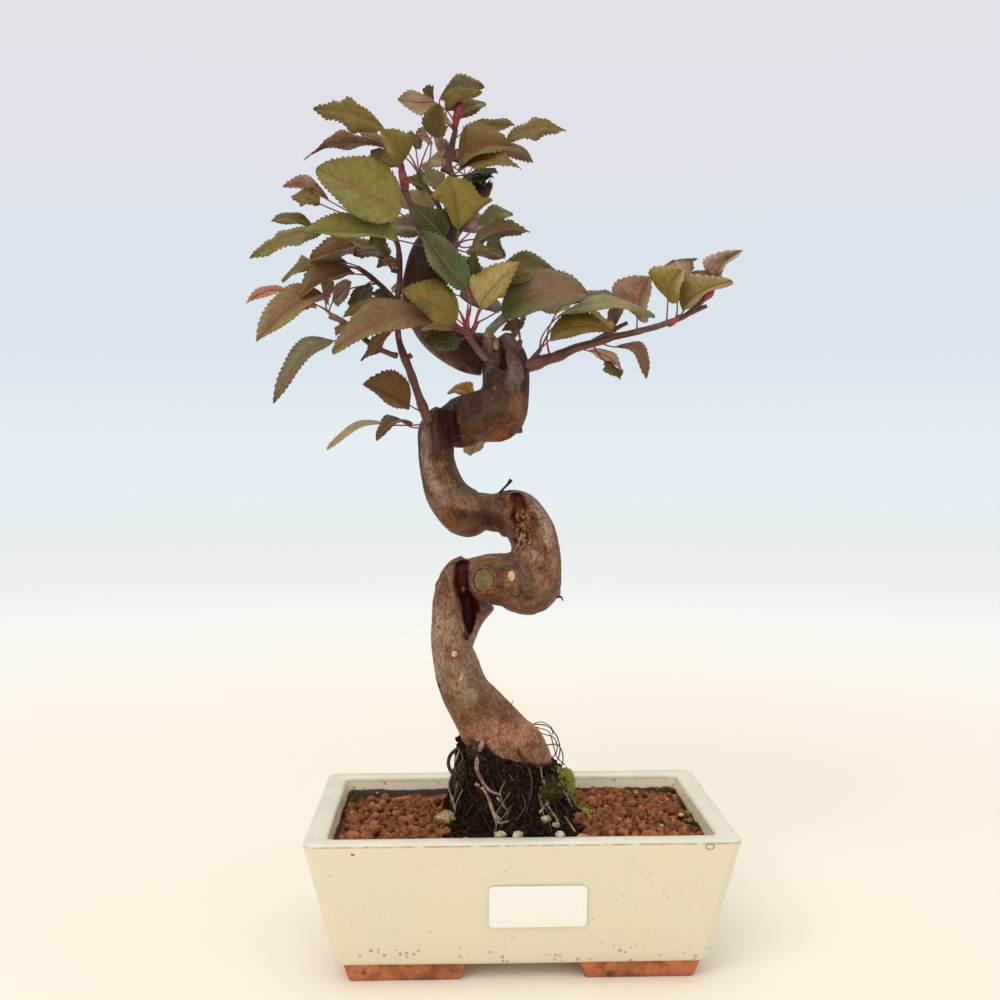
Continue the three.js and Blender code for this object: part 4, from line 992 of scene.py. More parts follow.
def buildBark(tree, surface, place):
    flow = attributeOf(tree, "barkFlow", "Vector")
    colour = attributeOf(tree, "barkTone", "Color")
    plain = ease(tree, lightnessOf(tree, colour), 0.015, 0.07)  # dark hollows stay plain
    fibres = stretch(tree, flow, (1, 1, 0.6))
    fine = useGroup(tree, cloudGroup, fibres, Scale=820, From=0.38, To=0.64, Detail=6)
    broad = useGroup(tree, cloudGroup, stretch(tree, flow, (1, 1, 0.7)), Scale=230, From=0.4, To=0.62)
    tall = stretch(tree, flow, (0.8, 0.8, 1.4))
    lenticels = useGroup(tree, spotGroup, tall, Scale=900, Size=0.32, Share=0.2)
    colour = cover(tree, colour, fine, 0.75, "8c6c56", "MULTIPLY")
    colour = cover(tree, colour, broad, 0.42, "90745c", "MULTIPLY")
    for mask, strength, over in (
            (useGroup(tree, cloudGroup, place, Scale=95, From=0.42, To=0.6), 0.12, trunk["pale"]),
            (useGroup(tree, cloudGroup, place, Scale=48, From=0.55, To=0.72), 0.2, trunk["algae"]),
            (lenticels, 0.5, trunk["lenticel"]),
            (useGroup(tree, spotGroup, place, Scale=620, Size=0.36, Share=0.16), 0.4, barkTones["orange"])):
        colour = cover(tree, colour, mask, times(tree, plain, strength), over)
    specks = useGroup(tree, spotGroup, place, Scale=1000, Size=0.4, Share=0.25)
    colour = cover(tree, colour, specks, 0.45, "3a2419")
    height = maths(tree, "ADD", useGroup(tree, reliefGroup, fibres, Coarse=420, Fine=1700, Grain=0.45),
                   times(tree, lenticels, 0.3))
    rough = ease(tree, fine, 0, 1, 0.4, 0.6)
    feed(tree, surface, {"Base Color": colour, "Roughness": rough, "Specular IOR Level": 0.2}, height, 0.7)


# Bark tone by height, with painted shade on undersides tinted rust, a painted mauve sheen on upward faces,
# and random blotches
def barkBase(points, normals):
    levels = sorted((place(470, down, 0).z, tone(barkTones[name])[:3]) for down, name in barkHeights)
    heights = [level for level, _ in levels]
    colours = np.array([colour for _, colour in levels])
    base = np.stack([np.interp(points[:, 2], heights, colours[:, i]) for i in range(3)], axis=1)
    above = (points[:, 2] > heights[2])[:, None]
    # Painted shade darkens the undersides of the limbs and tints them rust; a painted sheen lightens faces
    # turned up
    under = np.clip(-normals[:, 2] * 1.3 - 0.15, 0, 1)[:, None] * above
    top = np.clip(normals[:, 2] * 1.2 - 0.2, 0, 1)[:, None] * above
    base = base * (1 - 0.62 * under) + np.array(tone(barkTones["rust"])[:3]) * 0.5 * under
    paintedTopSheen = 0.3 * top * (points[:, 2] < heights[-5])[:, None]
    base = base * (1 - paintedTopSheen) + np.array(tone(barkTones["mauve"])[:3]) * paintedTopSheen
    blotch = np.array([noise.noise(Vector(p) * 120) for p in points])[:, None]
    return base * (1 + 0.26 * blotch)


# How much of the sky over each point the trunk itself hides, for painted shade in the bark's colour
def shelter(points, normals, bvh):
    rng = random.Random(3)
    ways = [randomWay(rng).normalized() for _ in range(trunk["shelterWays"])]
    hidden = np.zeros(len(points))
    for i, (point, normal) in enumerate(zip(points, normals)):
        normal = Vector(normal)
        start = Vector(point) + normal * 0.4 * mm
        for way in ways:
            if bvh.ray_cast(start, normal * 1.1 + way, trunk["shelterReach"])[0]:
                hidden[i] += 1 / len(ways)
    return hidden


def makeTrunk():
    lines = [smoothLine(knotsOf(readRow(bend)), 8) for bend in trunkBends]
    rough = tubes("trunkTubes", [(line, 0) for line in lines], sides=24)
    joined = applied("trunkJoined", rough, ("REMESH", {"mode": "VOXEL", "voxel_size": trunk["voxel"]}))
    bm = bmesh.new()
    bm.from_mesh(joined)
    largestBody(bm)
    for _ in range(trunk["smoothing"]):
        relax(bm, bm.verts)
    bvh = BVHTree.FromBMesh(bm)
    points = np.array([v.co for v in bm.verts])
    bm.verts.ensure_lookup_table()
    for radius, mark in trunkFillets:
        near = nearness(points, bvh, radius, [mark]) if hit(bvh, *mark)[0] else np.full(len(points), 9.0)
        verts = [bm.verts[i] for i in np.nonzero(near < 1)[0]]
        for _ in range(trunk["filletRounds"] if verts else 0):
            relax(bm, verts)
    bmesh.ops.recalc_face_normals(bm, faces=bm.faces)
    bm.normal_update()
    bvh = BVHTree.FromBMesh(bm)
    points = np.array([v.co for v in bm.verts])
    normals = np.array([v.normal for v in bm.verts])
    flow = flowOf(points, lines)
    lift = np.zeros(len(points))
    for i, (p, f) in enumerate(zip(points, flow)):
        grain = Vector((f[0], f[1], f[2] * 0.2))
        lift[i] = trunk["lump"] * noise.noise(Vector(p) * trunk["lumpScale"])
        lift[i] += trunk["flute"] * noise.noise(grain * trunk["fluteScale"])
        lift[i] += trunk["skin"] * noise.noise(grain * trunk["skinScale"])
        lift[i] += 0.8 * trunk["skin"] * noise.noise(Vector(p) * 480)
    for height, radius, *marks in map(readRow, barkRelief):
        away = nearness(points, bvh, radius, marks)
        lift += height * mm * np.clip(1 - away ** 2, 0, 1) ** 1.5
    push = np.zeros(len(points))
    for depth, radius, *marks in map(readRow, barkHollows):
        away = nearness(points, bvh, radius, marks)
        push = np.maximum(push, depth * mm * np.clip(1.25 * (1 - away ** 2), 0, 1))
    colours = barkBase(points, normals)
    seen = np.clip(-(normals @ np.array(ahead)) * 4 + 1, 0, 1)
    for name, strength, radius, *marks in map(readRow, barkPaint):
        away = nearness(points, bvh, radius, marks)
        ragged = away + 0.25 * np.array([noise.noise(Vector(p) * 420) if a < 1.4 else 0
                                         for p, a in zip(points, away)])
        steep = 7 if strength > 0.95 else 2.15
        weight = (strength * seen * np.clip(0.15 + steep - steep * ragged, 0, 1))[:, None]
        colours = colours * (1 - weight) + np.array(tone(barkTones[name])[:3]) * weight
    moved = points + normals * lift[:, None] + push[:, None] * np.array(ahead)
    for v, co in zip(bm.verts, moved):
        v.co = co
    bvh = BVHTree.FromBMesh(bm)
    # Painted shade: the bark's colour is darkened where the trunk hides the sky
    dark = shelter(moved, normals, bvh)[:, None]
    colours *= 1 - dark * np.array(trunk["paintedShadeTone"])
    mesh = toMesh(bm, "trunk")
    opaque = np.ones((len(points), 1))
    setAttribute(mesh, "barkTone", "FLOAT_COLOR", np.hstack([np.clip(colours, 0, 1), opaque]))
    setAttribute(mesh, "barkFlow", "FLOAT_VECTOR", flow)
    addPiece("trunkBark", mesh, ["trunk"], [makeMaterial("bark", buildBark)])
    return bvh


trunkSkin = makeTrunk()
print("trunk ready")


# Cuts, cracks, knobs and torn wood on the trunk
woodTones = {
    "crack": ("33201a", "1f120d", 0.8),
    "barkLip": ("8a5c46", "573627", 0.5),
    "freshWood": ("e2bb8b", "b98a5c", 0.6),
    "yellowWood": ("b8955a", "7a5630", 0.7),
    "oliveWood": ("7c6c46", "5a4a2c", 0.7),
    # torn and the darkest tone below also serve as lit and shaded copies of the wound's wood: painted light
    # and shade
    "torn": ("a87a4e", "6e4628", 0.8),
    "tornDark": ("4a3026", "241612", 0.8),
}


def woodFinish(name):
    light, dark, rough = woodTones[name]
    return plainFinish("wood" + name[0].upper() + name[1:], (light, dark),
                       dict(Scale=300, From=0.36, To=0.7, Detail=6),
                       dict(Coarse=700, Fine=2400, Grain=0.4), 0.4, rough, 1.0,
                       (0.4, dark, dict(Scale=1300, Size=0.3, Share=0.1)), 0.3)


# Points on a surface along a line of marks
def traced(skin, marks, lift):
    spots = []
    for a, b in zip(marks, marks[1:]):
        steps = max(2, round(math.dist(a, b) / 2))
        for i in range(steps + 1):
            t = i / steps
            spot, normal = hit(skin, a[0] + t * (b[0] - a[0]), a[1] + t * (b[1] - a[1]))
            if spot:
                spots.append(spot + normal * lift)
    return spots


def ringMarks(mark, across, down, count=28):
    turns = [2 * math.pi * i / count for i in range(count + 1)]
    return [(mark[0] + across * math.cos(a), mark[1] + down * math.sin(a)) for a in turns]


# A disc that follows the skin; the lip of bark round it is a tube made in makeBarkDetails
def addCut(bm, skin, cut, number):
    mark, across, down = cut[:3]
    rings, count = (1, 0.75, 0.5, 0.25), 28
    middle, _ = hit(skin, *mark)
    if not middle:
        return
    rows = []
    for share in rings:
        row = []
        for x, y in ringMarks(mark, across * share, down * share, count)[:-1]:
            spot = hit(skin, x, y)[0] or middle
            height = 0.15 * mm + 0.35 * mm * (1 - share) + 0.2 * mm * noise.noise(spot * 700)
            row.append(bm.verts.new(spot - ahead * height))
        rows.append(row)
    heart = bm.verts.new(middle - ahead * 0.5 * mm)
    for outer, inner in zip(rows, rows[1:]):
        for i in range(count):
            j = (i + 1) % count
            bm.faces.new((outer[i], outer[j], inner[j], inner[i])).material_index = number
    for i in range(count):
        bm.faces.new((rows[-1][i], rows[-1][(i + 1) % count], heart)).material_index = number


# A bent splinter. Its lengths and radii are ranges in millimetres.
def splinter(at, way, lengths, radii, rng):
    length, radius = rng.uniform(*lengths) * mm, rng.uniform(*radii) * mm
    rows = []
    for i in range(4):
        t = i / 3
        bend = randomWay(rng) * 0.07 * length
        rows.append((*(at + way * length * t + bend), radius * (1 - 0.8 * t)))
    return rows


def makeBarkDetails():
    rng = random.Random(8)
    names = list(woodTones)
    lines = []
    cuts = [readRow(row) for row in barkCuts]
    for width, name, *marks in map(readRow, barkLines):
        spots = traced(trunkSkin, marks, -0.1 * mm)
        if len(spots) > 2:
            shares = [(i + 1) / (len(spots) + 1) for i in range(len(spots))]
            rows = [(*s, spanAt(width * math.sin(math.pi * t) ** 0.5, s)) for s, t in zip(spots, shares)]
            lines.append((rows, names.index(name)))
    for mark, across, down, name, lip in cuts:
        spots = traced(trunkSkin, ringMarks(mark, across + 0.6 * lip, down + 0.6 * lip), 0.0)
        rows = [(*s, spanAt(lip * (1 + 0.5 * noise.noise(s * 500)), s)) for s in spots]
        if len(rows) > 4:
            lines.append((rows, names.index("barkLip")))
    # Torn wood in the wound, in pale and dark splinters that are lit and shaded copies of one wood, painted
    # light and shade; and the torn top
    for _ in range(trunk["woundSplinters"]):
        down = rng.uniform(513, 545)
        spot, _ = hit(trunkSkin, 524.5 + rng.gauss(0, 3.6) - abs(down - 526) * 0.15, down)
        if spot:
            way = Vector((rng.gauss(0, 0.3), -0.25, rng.gauss(0.2, 1))).normalized()
            lines.append((splinter(spot, way, (1.5, 4.5), (0.6, 1.3), rng),
                          names.index("torn" if rng.random() < 0.65 else "tornDark")))
    for _ in range(trunk["stubSplinters"]):
        mark = (rng.uniform(496, 512), rng.uniform(497, 508))
        spot, _ = hit(trunkSkin, *mark)
        if spot:
            way = Vector((rng.gauss(0.6, 0.4), -0.25, rng.gauss(0.1, 0.4))).normalized()
            lines.append((splinter(spot, way, (1.2, 3), (0.2, 0.45), rng),
                          names.index("barkLip" if rng.random() < 0.6 else "tornDark")))
    for _ in range(trunk["topSplinters"]):
        at = place(482 + rng.uniform(-9, 9), 185 + rng.uniform(-2, 7), 7 + rng.uniform(-4, 5))
        way = (rightward * rng.gauss(0.3, 0.12) + upward + ahead * rng.gauss(0, 0.15)).normalized()
        lines.append((splinter(at, way, (2.2, 4.2), (0.9, 1.5), rng),
                      names.index("tornDark" if rng.random() < 0.7 else "torn")))
    for steps, thorn in ((5, "500,493,2,0.9 504,488,0,0.6 508,484,-1,0.8 511,480,-2,1.2"),
                         (4, "556,597,-10,1 561,597,-11,0.6 563,601,-11,0.3")):
        knots = [(*place(*mark[:3]), mark[3] * mm) for mark in readRow(thorn)]
        lines.append((smoothLine(knots, steps), names.index("tornDark")))
    bm = bmesh.new()
    bm.from_mesh(tubes("barkDetails", lines, sides=6))
    for cut in cuts:
        addCut(bm, trunkSkin, cut, names.index(cut[3]))
    for mark, radius, name in map(readRow, barkKnobs):
        spot, normal = hit(trunkSkin, *mark)
        if not spot:
            continue
        turn = normal.to_track_quat("Z", "Y").to_matrix().to_4x4()
        size = spanAt(radius, spot)
        shape = Matrix.Diagonal((size, size * rng.uniform(0.7, 1.3), size * 0.7, 1))
        knob = bmesh.ops.create_icosphere(bm, subdivisions=2, radius=1,
                                          matrix=Matrix.Translation(spot) @ turn @ shape)["verts"]
        for v in knob:
            v.co += noise.noise_vector(v.co * 900) * size * 0.5
        for f in {f for v in knob for f in v.link_faces}:
            f.material_index = names.index(name)
    addPiece("barkDetails", toMesh(bm, "barkDetails", 60), ["trunk"],
             [woodFinish(name) for name in names])


makeBarkDetails()
print("bark details ready")


# Root mound, soil, pebbles and moss
ground = {
    "across": -3.5 * mm,
    "depth": 2 * mm,
    "radius": 40,
    "draw": 13,
    "narrow": 3.5,
    "leftFoot": 4.5,
    "top": 107,
    "tilt": 7,
    "bottom": 52,
    "level": 71,
    "lump": 1.6,
    "segments": 150,
    "levels": 46,
    "soilTop": 70.5 * mm,
    "granules": 2000,
    "granuleSizes": (2.6, 5.4),
    "bigGranules": 110,
    "bigSizes": (5.5, 8.5),
    "apron": (-3.5, -31, 38, 26),
    "crumbs": 420,
    "apronCrumbs": 620,
    "hairRoots": 120,
    "earth": ("1c120c", "42301f"),
    "granuleTones": ("96562e", "b26e3c", "683a1e"),
    "mossBright": ("c4bc56", "8e9238"),
    "mossDark": ("4e4a22", "2e2c16"),
}
mossPads = {"mossBright": ("moss_bright", 1500), "mossDark": ("moss_dark", 1000)}
moundMiddle = potMiddle + Vector((ground["across"], ground["depth"], 0))


# The mound is highest at the left. Heights and radii are in millimetres.
def moundTop(angle):
    return ground["top"] - ground["tilt"] * math.cos(angle)


def moundRadius(z, angle):
    rise = clamp((z - ground["level"]) / (moundTop(angle) - ground["level"]))
    lumps = math.sin(3 * angle + 0.08 * z) + 0.6 * math.sin(5 * angle - 0.11 * z + 1)
    lumps += 0.5 * math.sin(8 * angle + 0.3 * z)
    draw = ground["draw"] + ground["narrow"] * math.cos(angle)
    inward = ground["leftFoot"] * max(0, -math.cos(angle)) * (1 - rise)
    return ground["radius"] - inward - draw * rise ** 0.8 + ground["lump"] * lumps


def moundPoint(z, angle, out=0.0):
    radius = (moundRadius(z, angle) + out) * mm
    return moundMiddle + Vector((radius * math.cos(angle), radius * math.sin(angle), z * mm))


# The soil sinks toward the back wall, most at the left
def soilHeight(x, y):
    halfX, halfY = potWidth / 2 - 14 * mm, potDepth / 2 - 14 * mm
    edge = max(abs(x - potMiddle.x) / halfX, abs(y - potMiddle.y) / halfY)
    rise = 1.4 * noise.noise(Vector((x, y, 0)) * 38) + 0.7 * noise.noise(Vector((x, y, 4)) * 120)
    left = smooth((potMiddle.x + 10 * mm - x) / (60 * mm))
    dip = smooth((y - potMiddle.y - (42 - 10 * left) * mm) / (9 * mm)) * (2.2 + 3 * left)
    return ground["soilTop"] - 3.4 * mm * edge ** 6 + (rise - dip) * mm


# The dark earth that reaches from the mound to the front rim: 0 outside to 1
def apronAt(x, y):
    across, depth, halfX, halfY = ground["apron"]
    away = math.hypot((x - potMiddle.x - across * mm) / (halfX * mm),
                      (y - potMiddle.y - depth * mm) / (halfY * mm))
    return smooth((1.1 + 0.25 * noise.noise(Vector((x, y, 0)) * 90) - away) * 5)


def addCrumb(bm, spot, sizes, detail, wobble):
    shape = spot @ Matrix.Diagonal((*sizes, 1))
    for v in bmesh.ops.create_icosphere(bm, subdivisions=1, radius=1, matrix=shape)["verts"]:
        v.co += noise.noise_vector(v.co * detail) * wobble * mm


def makeMound():
    bm = bmesh.new()
    bmesh.ops.create_cone(bm, cap_ends=False, segments=ground["segments"], radius1=1, radius2=1, depth=1)
    upright = [e for e in bm.edges if abs(e.verts[0].co.z - e.verts[1].co.z) > 0.5]
    bmesh.ops.subdivide_edges(bm, edges=upright, cuts=ground["levels"])
    for v in bm.verts:
        angle = math.atan2(v.co.y, v.co.x)
        z = ground["bottom"] + (v.co.z + 0.5) * (moundTop(angle) - 1 - ground["bottom"])
        v.co = moundPoint(z, angle)
        v.co += noise.turbulence_vector(v.co * 130, 4, False) * 1.5 * mm
    ends = [e for e in bm.edges if e.is_boundary]
    bmesh.ops.holes_fill(bm, edges=ends, sides=0)
    caps = [f for f in bm.faces if len(f.verts) > 20]
    bmesh.ops.poke(bm, faces=caps)
    bmesh.ops.recalc_face_normals(bm, faces=bm.faces)
    rng = random.Random(11)
    for _ in range(ground["crumbs"]):
        angle = rng.uniform(0, 2 * math.pi)
        z = rng.uniform(70, moundTop(angle) - 1)
        size = rng.uniform(0.7, 2.0)
        turn = Matrix.Rotation(rng.uniform(0, 6), 4, Vector((rng.random(), rng.random(), 1)))
        spot = Matrix.Translation(moundPoint(z, angle, rng.uniform(-0.6, 0.5))) @ turn
        sizes = (size * mm, size * rng.uniform(0.6, 1) * mm, size * rng.uniform(0.5, 1) * mm)
        addCrumb(bm, spot, sizes, 900, 0.35)
    across, depth, halfX, halfY = ground["apron"]
    for _ in range(ground["apronCrumbs"]):
        x = potMiddle.x + (across + halfX * rng.uniform(-1, 1)) * mm
        y = potMiddle.y + max(depth + halfY * rng.uniform(-1, 1), -56) * mm
        if apronAt(x, y) < 0.5:
            continue
        size = rng.uniform(1.2, 3.0) * mm
        spot = Matrix.Translation((x, y, soilHeight(x, y) - 0.6 * mm))
        spot @= Matrix.Rotation(rng.uniform(0, 6), 4, "Z")
        addCrumb(bm, spot, (size, size * rng.uniform(0.6, 1), size * rng.uniform(0.4, 0.8)), 600, 0.5)
    bvh = BVHTree.FromBMesh(bm)
    addPiece("rootMound", toMesh(bm, "rootMound", 60), ["root_mound"],
             [plainFinish("darkEarth", ground["earth"], dict(Scale=420, From=0.45, To=0.7),
                          dict(Coarse=600, Fine=2400, Grain=0.5), 1.2, 0.95, 1.0,
                          (0.8, "9a7c62", dict(Scale=700, Size=0.3, Share=0.07)), 0.08)])
    return bvh


def buildGranules(tree, surface, place):
    shade = attributeOf(tree, "shade", "Fac")
    light, bright, dark = ground["granuleTones"]
    colour = mixTone(tree, ease(tree, shade, 0.25, 0.9), dark, light)
    colour = mixTone(tree, ease(tree, shade, 0.75, 1.0), colour, bright)
    colour = mixTone(tree, ease(tree, shade, 1.2, 1.5), colour, "dcc09a")
    crumbs = useGroup(tree, cloudGroup, place, Scale=650, From=0.4, To=0.7)
    colour = cover(tree, colour, crumbs, 0.4, "b87844")
    pits = useGroup(tree, spotGroup, place, Scale=1100, Size=0.3, Share=0.3)
    colour = cover(tree, colour, pits, 0.45, "44200f")
    grit = useGroup(tree, reliefGroup, place, Coarse=900, Fine=2600, Grain=0.5)
    feed(tree, surface, {"Base Color": colour, "Roughness": 0.92}, grit, 0.7)


# Many small shapes, made a batch at a time and joined to a piece that has the same "shade" layer
def scatterShapes(bm, shapes, addShape, batch=50):
    for start in range(0, len(shapes), batch):
        part = bmesh.new()
        shade = part.verts.layers.float.new("shade")
        for shape in shapes[start:start + batch]:
            addShape(part, shade, shape)
        mesh = toMesh(part, "batch")
        bm.from_mesh(mesh)
        bpy.data.meshes.remove(mesh)


def addGranule(bm, shade, granule):
    matrix, size, lightness = granule
    middle = matrix.translation
    for v in bmesh.ops.create_icosphere(bm, subdivisions=2, radius=1, matrix=matrix)["verts"]:
        swell = 0.55 * noise.noise(v.co * 330) + 0.2 * noise.cell(v.co * 520)
        v.co += (v.co - middle) * swell + noise.noise_vector(v.co * 900) * size * 0.16
        v[shade] = clamp(lightness + 0.35 * noise.noise(v.co * 400), 0, 1 if lightness < 1 else 2)


# Pale and bright bits among the granules: mark, half length in mm, and lightness above 1
paleBits = [
    (668, 800, 1.3, 2), (673, 809, 1.5, 2), (681, 815, 1.6, 2), (636, 793, 1.2, 2), (606, 806, 1.2, 2),
    (571, 802, 1.4, 2), (592, 806, 1.2, 2), (640, 806, 1.0, 2), (378, 793, 1.0, 2), (330, 812, 1.1, 2),
    (352, 812, 0.9, 2), (388, 835, 1.0, 2), (662, 826, 1.0, 2), (620, 820, 0.9, 2),
]


def makeSoil():
    rng = random.Random(5)
    bm = bmesh.new()
    shade = bm.verts.layers.float.new("shade")
    halfX, halfY = potWidth / 2 - pot["rim"] - 1.2 * mm, potDepth / 2 - pot["rim"] - 1.2 * mm
    bmesh.ops.create_grid(bm, x_segments=64, y_segments=40, size=1)
    for v in bm.verts:
        v.co = potMiddle + Vector((v.co.x * halfX, v.co.y * halfY, 0))
        v.co.z = soilHeight(v.co.x, v.co.y) - 2.2 * mm
        v[shade] = 0.05
    lid = bmesh.ops.extrude_face_region(bm, geom=bm.faces[:])["geom"]
    for v in [g for g in lid if isinstance(g, bmesh.types.BMVert)]:
        v.co = potMiddle + (Vector((v.co.x, v.co.y, 0)) - potMiddle) * 0.93 + Vector((0, 0, 24 * mm))
    bmesh.ops.recalc_face_normals(bm, faces=bm.faces)
    columns = 46
    rows = ground["granules"] // columns
    cells = [(i, j, 0) for i in range(columns) for j in range(rows)]
    cells += [(rng.uniform(0, columns), rng.uniform(0, rows), 1) for _ in range(ground["bigGranules"])]
    granules = []
    for i, j, big in cells:
        x = potMiddle.x + halfX * 0.985 * (2 * (i + rng.random()) / columns - 1)
        y = potMiddle.y + halfY * 0.985 * (2 * (j + rng.random()) / rows - 1)
        away = math.hypot(x - moundMiddle.x, y - moundMiddle.y)
        angle = math.atan2(y - moundMiddle.y, x - moundMiddle.x)
        edge = max(abs(x - potMiddle.x) / halfX, abs(y - potMiddle.y) / halfY)
        bare = max(apronAt(x, y), 0.75 * smooth((edge - 0.93) / 0.05))
        if away < (moundRadius(71, angle) - 1) * mm or rng.random() < bare:
            continue
        least, most = ground["bigSizes"] if big else ground["granuleSizes"]
        size = (least + (most - least) * rng.random() ** 1.6) / 2 * mm
        x = clamp(x, potMiddle.x - halfX + size * 0.8, potMiddle.x + halfX - size * 0.8)
        y = clamp(y, potMiddle.y - halfY + size * 0.8, potMiddle.y + halfY - size * 0.8)
        z = soilHeight(x, y) + rng.uniform(-1.4, 0.9) * mm + (1.6 * mm if big else 0) - size * 0.3
        turn = Matrix.Rotation(rng.uniform(0, 6.28), 4, randomWay(rng))
        shape = Matrix.Diagonal([size * rng.uniform(0.75, 1.15) for _ in range(3)] + [1])
        lightness = rng.random() if not big else rng.uniform(0.4, 1)
        granules.append((Matrix.Translation((x, y, z)) @ turn @ shape, size, lightness))
    for across, down, length, lightness in paleBits:
        ray = sight(across, down)
        spot = eye + ray * ((ground["soilTop"] - eye.z) / ray.z)
        shape = Matrix.Diagonal((length * mm, 0.75 * length * mm, 0.7 * length * mm, 1))
        granules.append((Matrix.Translation(spot) @ shape, length * mm, lightness))
    scatterShapes(bm, granules, addGranule)
    bvh = BVHTree.FromBMesh(bm)
    addPiece("soilGranules", toMesh(bm, "soilGranules", 70), ["soil"],
             [makeMaterial("redGranules", buildGranules)])
    return bvh


pebbles = [
    ("c4b284", "8a7a40"), ("dcc4a0", "b0936a"), ("dccfb4", "a89670"), ("e4b897", "c08c66"),
    ("d2c2a0", "a08a64"), ("cfc2a2", "9b8960"), ("dccbae", "aa9470"), ("dba070", "b57848"),
]


def makePebbles():
    for number, tones in enumerate(pebbles, 1):
        name = "pebble_" + str(number)
        low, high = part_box(name)
        middle, half = (low + high) / 2, (high - low) / 2
        bm = bmesh.new()
        shape = Matrix.Translation(middle) @ Matrix.Diagonal((*half, 1))
        bmesh.ops.create_icosphere(bm, subdivisions=4, radius=1, matrix=shape)
        for v in bm.verts:
            way = (v.co - middle).normalized()
            v.co += way * half.x * 0.42 * noise.noise(v.co * 380 + Vector((number, 0, 0)))
            v.co += way * half.x * 0.14 * noise.noise(v.co * 1100)
        addPiece("pebbleStone" + str(number), toMesh(bm, name + "Stone"), [name],
                 [plainFinish("pebble" + str(number), tones, dict(Scale=330, From=0.4, To=0.62),
                              dict(Coarse=500, Fine=1800, Grain=0.4), 0.5, 0.75, 1.0,
                              (0.5, "5a4632", dict(Scale=900, Size=0.3, Share=0.2)))])


def mossBuilder(light, dark):
    def build(tree, surface, place):
        shade = attributeOf(tree, "shade", "Fac")
        colour = mixTone(tree, shade, dark, light)
        tips = useGroup(tree, cloudGroup, place, Scale=240, From=0.5, To=0.65)
        colour = cover(tree, colour, tips, 0.35, "a59a55")
        nap = useGroup(tree, reliefGroup, place, Coarse=1200, Fine=3000, Grain=0.5)
        feed(tree, surface, {"Base Color": colour, "Roughness": 0.8, "Sheen Weight": 0.05,
                             "Specular IOR Level": 0.2}, nap, 0.3)
    return build


def addBlade(bm, shade, blade):
    at, lean, length, radius, bright = blade
    turn = lean.to_track_quat("Z", "Y").to_matrix().to_4x4()
    cone = bmesh.ops.create_cone(bm, cap_ends=False, segments=4, radius1=radius, radius2=0.02 * mm,
                                 depth=length, matrix=Matrix.Translation(at + lean * length * 0.4) @ turn)
    for v in cone["verts"]:
        v[shade] = bright + (0.25 if (v.co - at).dot(lean) > 0.5 * length else 0)


# A pad of moss: a low cushion with leafy tips all over it
def makeMoss(name, node, count):
    rng = random.Random(count)
    low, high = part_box(node)
    middle, half = (low + high) / 2, (high - low) * 0.38
    bm = bmesh.new()
    shade = bm.verts.layers.float.new("shade")
    shape = Matrix.Translation(middle) @ Matrix.Diagonal((*half, 1))
    bmesh.ops.create_icosphere(bm, subdivisions=4, radius=0.9, matrix=shape)
    for v in bm.verts:
        v.co += noise.noise_vector(v.co * 300) * 0.9 * mm
        v[shade] = 0.15
    blades = []
    for _ in range(count):
        way = Vector((rng.gauss(0, 1), rng.gauss(0, 1), rng.gauss(0.3, 1))).normalized()
        at = middle + Vector([way[i] * half[i] * 0.95 for i in range(3)])
        lean = (way + Vector((rng.gauss(0, 0.5), rng.gauss(0, 0.5), rng.uniform(-0.4, 0.7)))).normalized()
        blades.append((at, lean, rng.uniform(1.2, 3.0) * mm, rng.uniform(0.3, 0.55) * mm,
                       rng.uniform(0.2, 0.75)))
    scatterShapes(bm, blades, addBlade)
    addPiece(name, toMesh(bm, name, 60), [node], [makeMaterial(name, mossBuilder(*ground[name]))])


moundSkin = makeMound()
print("mound ready")
soilSkin = makeSoil()
print("soil ready")
makePebbles()
for padName, pad in mossPads.items():
    makeMoss(padName, *pad)
print("pebbles and moss ready")


# Roots
roots = {
    "tan": "b08d72",
    "pink": "a97f78",
    "black": "2a1c18",
    "pale": "c9ac88",
}
# Roots on the mound: radius in mm, tone, and marks down the line
surfaceRoots = [
    "1.5 pink 484,738 477,764 482,779 490,790 501,795",
    "1.1 tan 476,784 486,792 497,821 508,822",
    "0.9 pale 560,785 550,800 539,813",
    "1.2 black 470,745 464,766 459,778 464,791",
    "1 black 518,750 529,771 531,790 526,812",
    "0.8 tan 490,800 494,812 501,821",
    "0.6 pale 497,797 507,810",
    "0.6 pale 550,811 556,820",
    "0.6 tan 565,817 575,832",
]

# Roots that stand free of the mound: radius, tone, and marks of across, down and depth
freeRoots = [
    "1.1 black 458,748,-8 450,756,-8 449,767,-9 457,779,-14",
    "0.35 black 534,724,-12 547,726,-10 556,735,-8 560,748,-8 558,760,-9",
    "0.3 black 536,727,-12 549,732,-9 553,744,-8 557,757,-8 565,765,-8",
    "0.3 black 540,733,-10 554,738,-8 557,750,-7 551,760,-8",
    "0.35 black 546,745,-8 558,745,-7 563,757,-7 561,770,-8",
    "0.25 black 533,724,-12 541,722,-10 551,727,-8 553,735,-8",
    "0.2 black 512,718,-12 511,708,-13 513,700,-13",
    "0.2 black 514,718,-12 514,711,-13 509,704,-13",
]


def rootFinish(name):
    return plainFinish("root" + name.capitalize(), (roots[name], "3a261e"),
                       dict(Scale=260, From=0.42, To=0.64), dict(Coarse=900, Fine=2500, Grain=0.4),
                       0.25, 0.6, 0.7)


def onMound(mark, lift):
    spots = [found for found in (hit(skin, *mark) for skin in (trunkSkin, moundSkin, soilSkin)) if found[0]]
    if not spots:
        return None
    spot, normal = min(spots, key=lambda found: (found[0] - eye).length)
    return spot + normal * lift


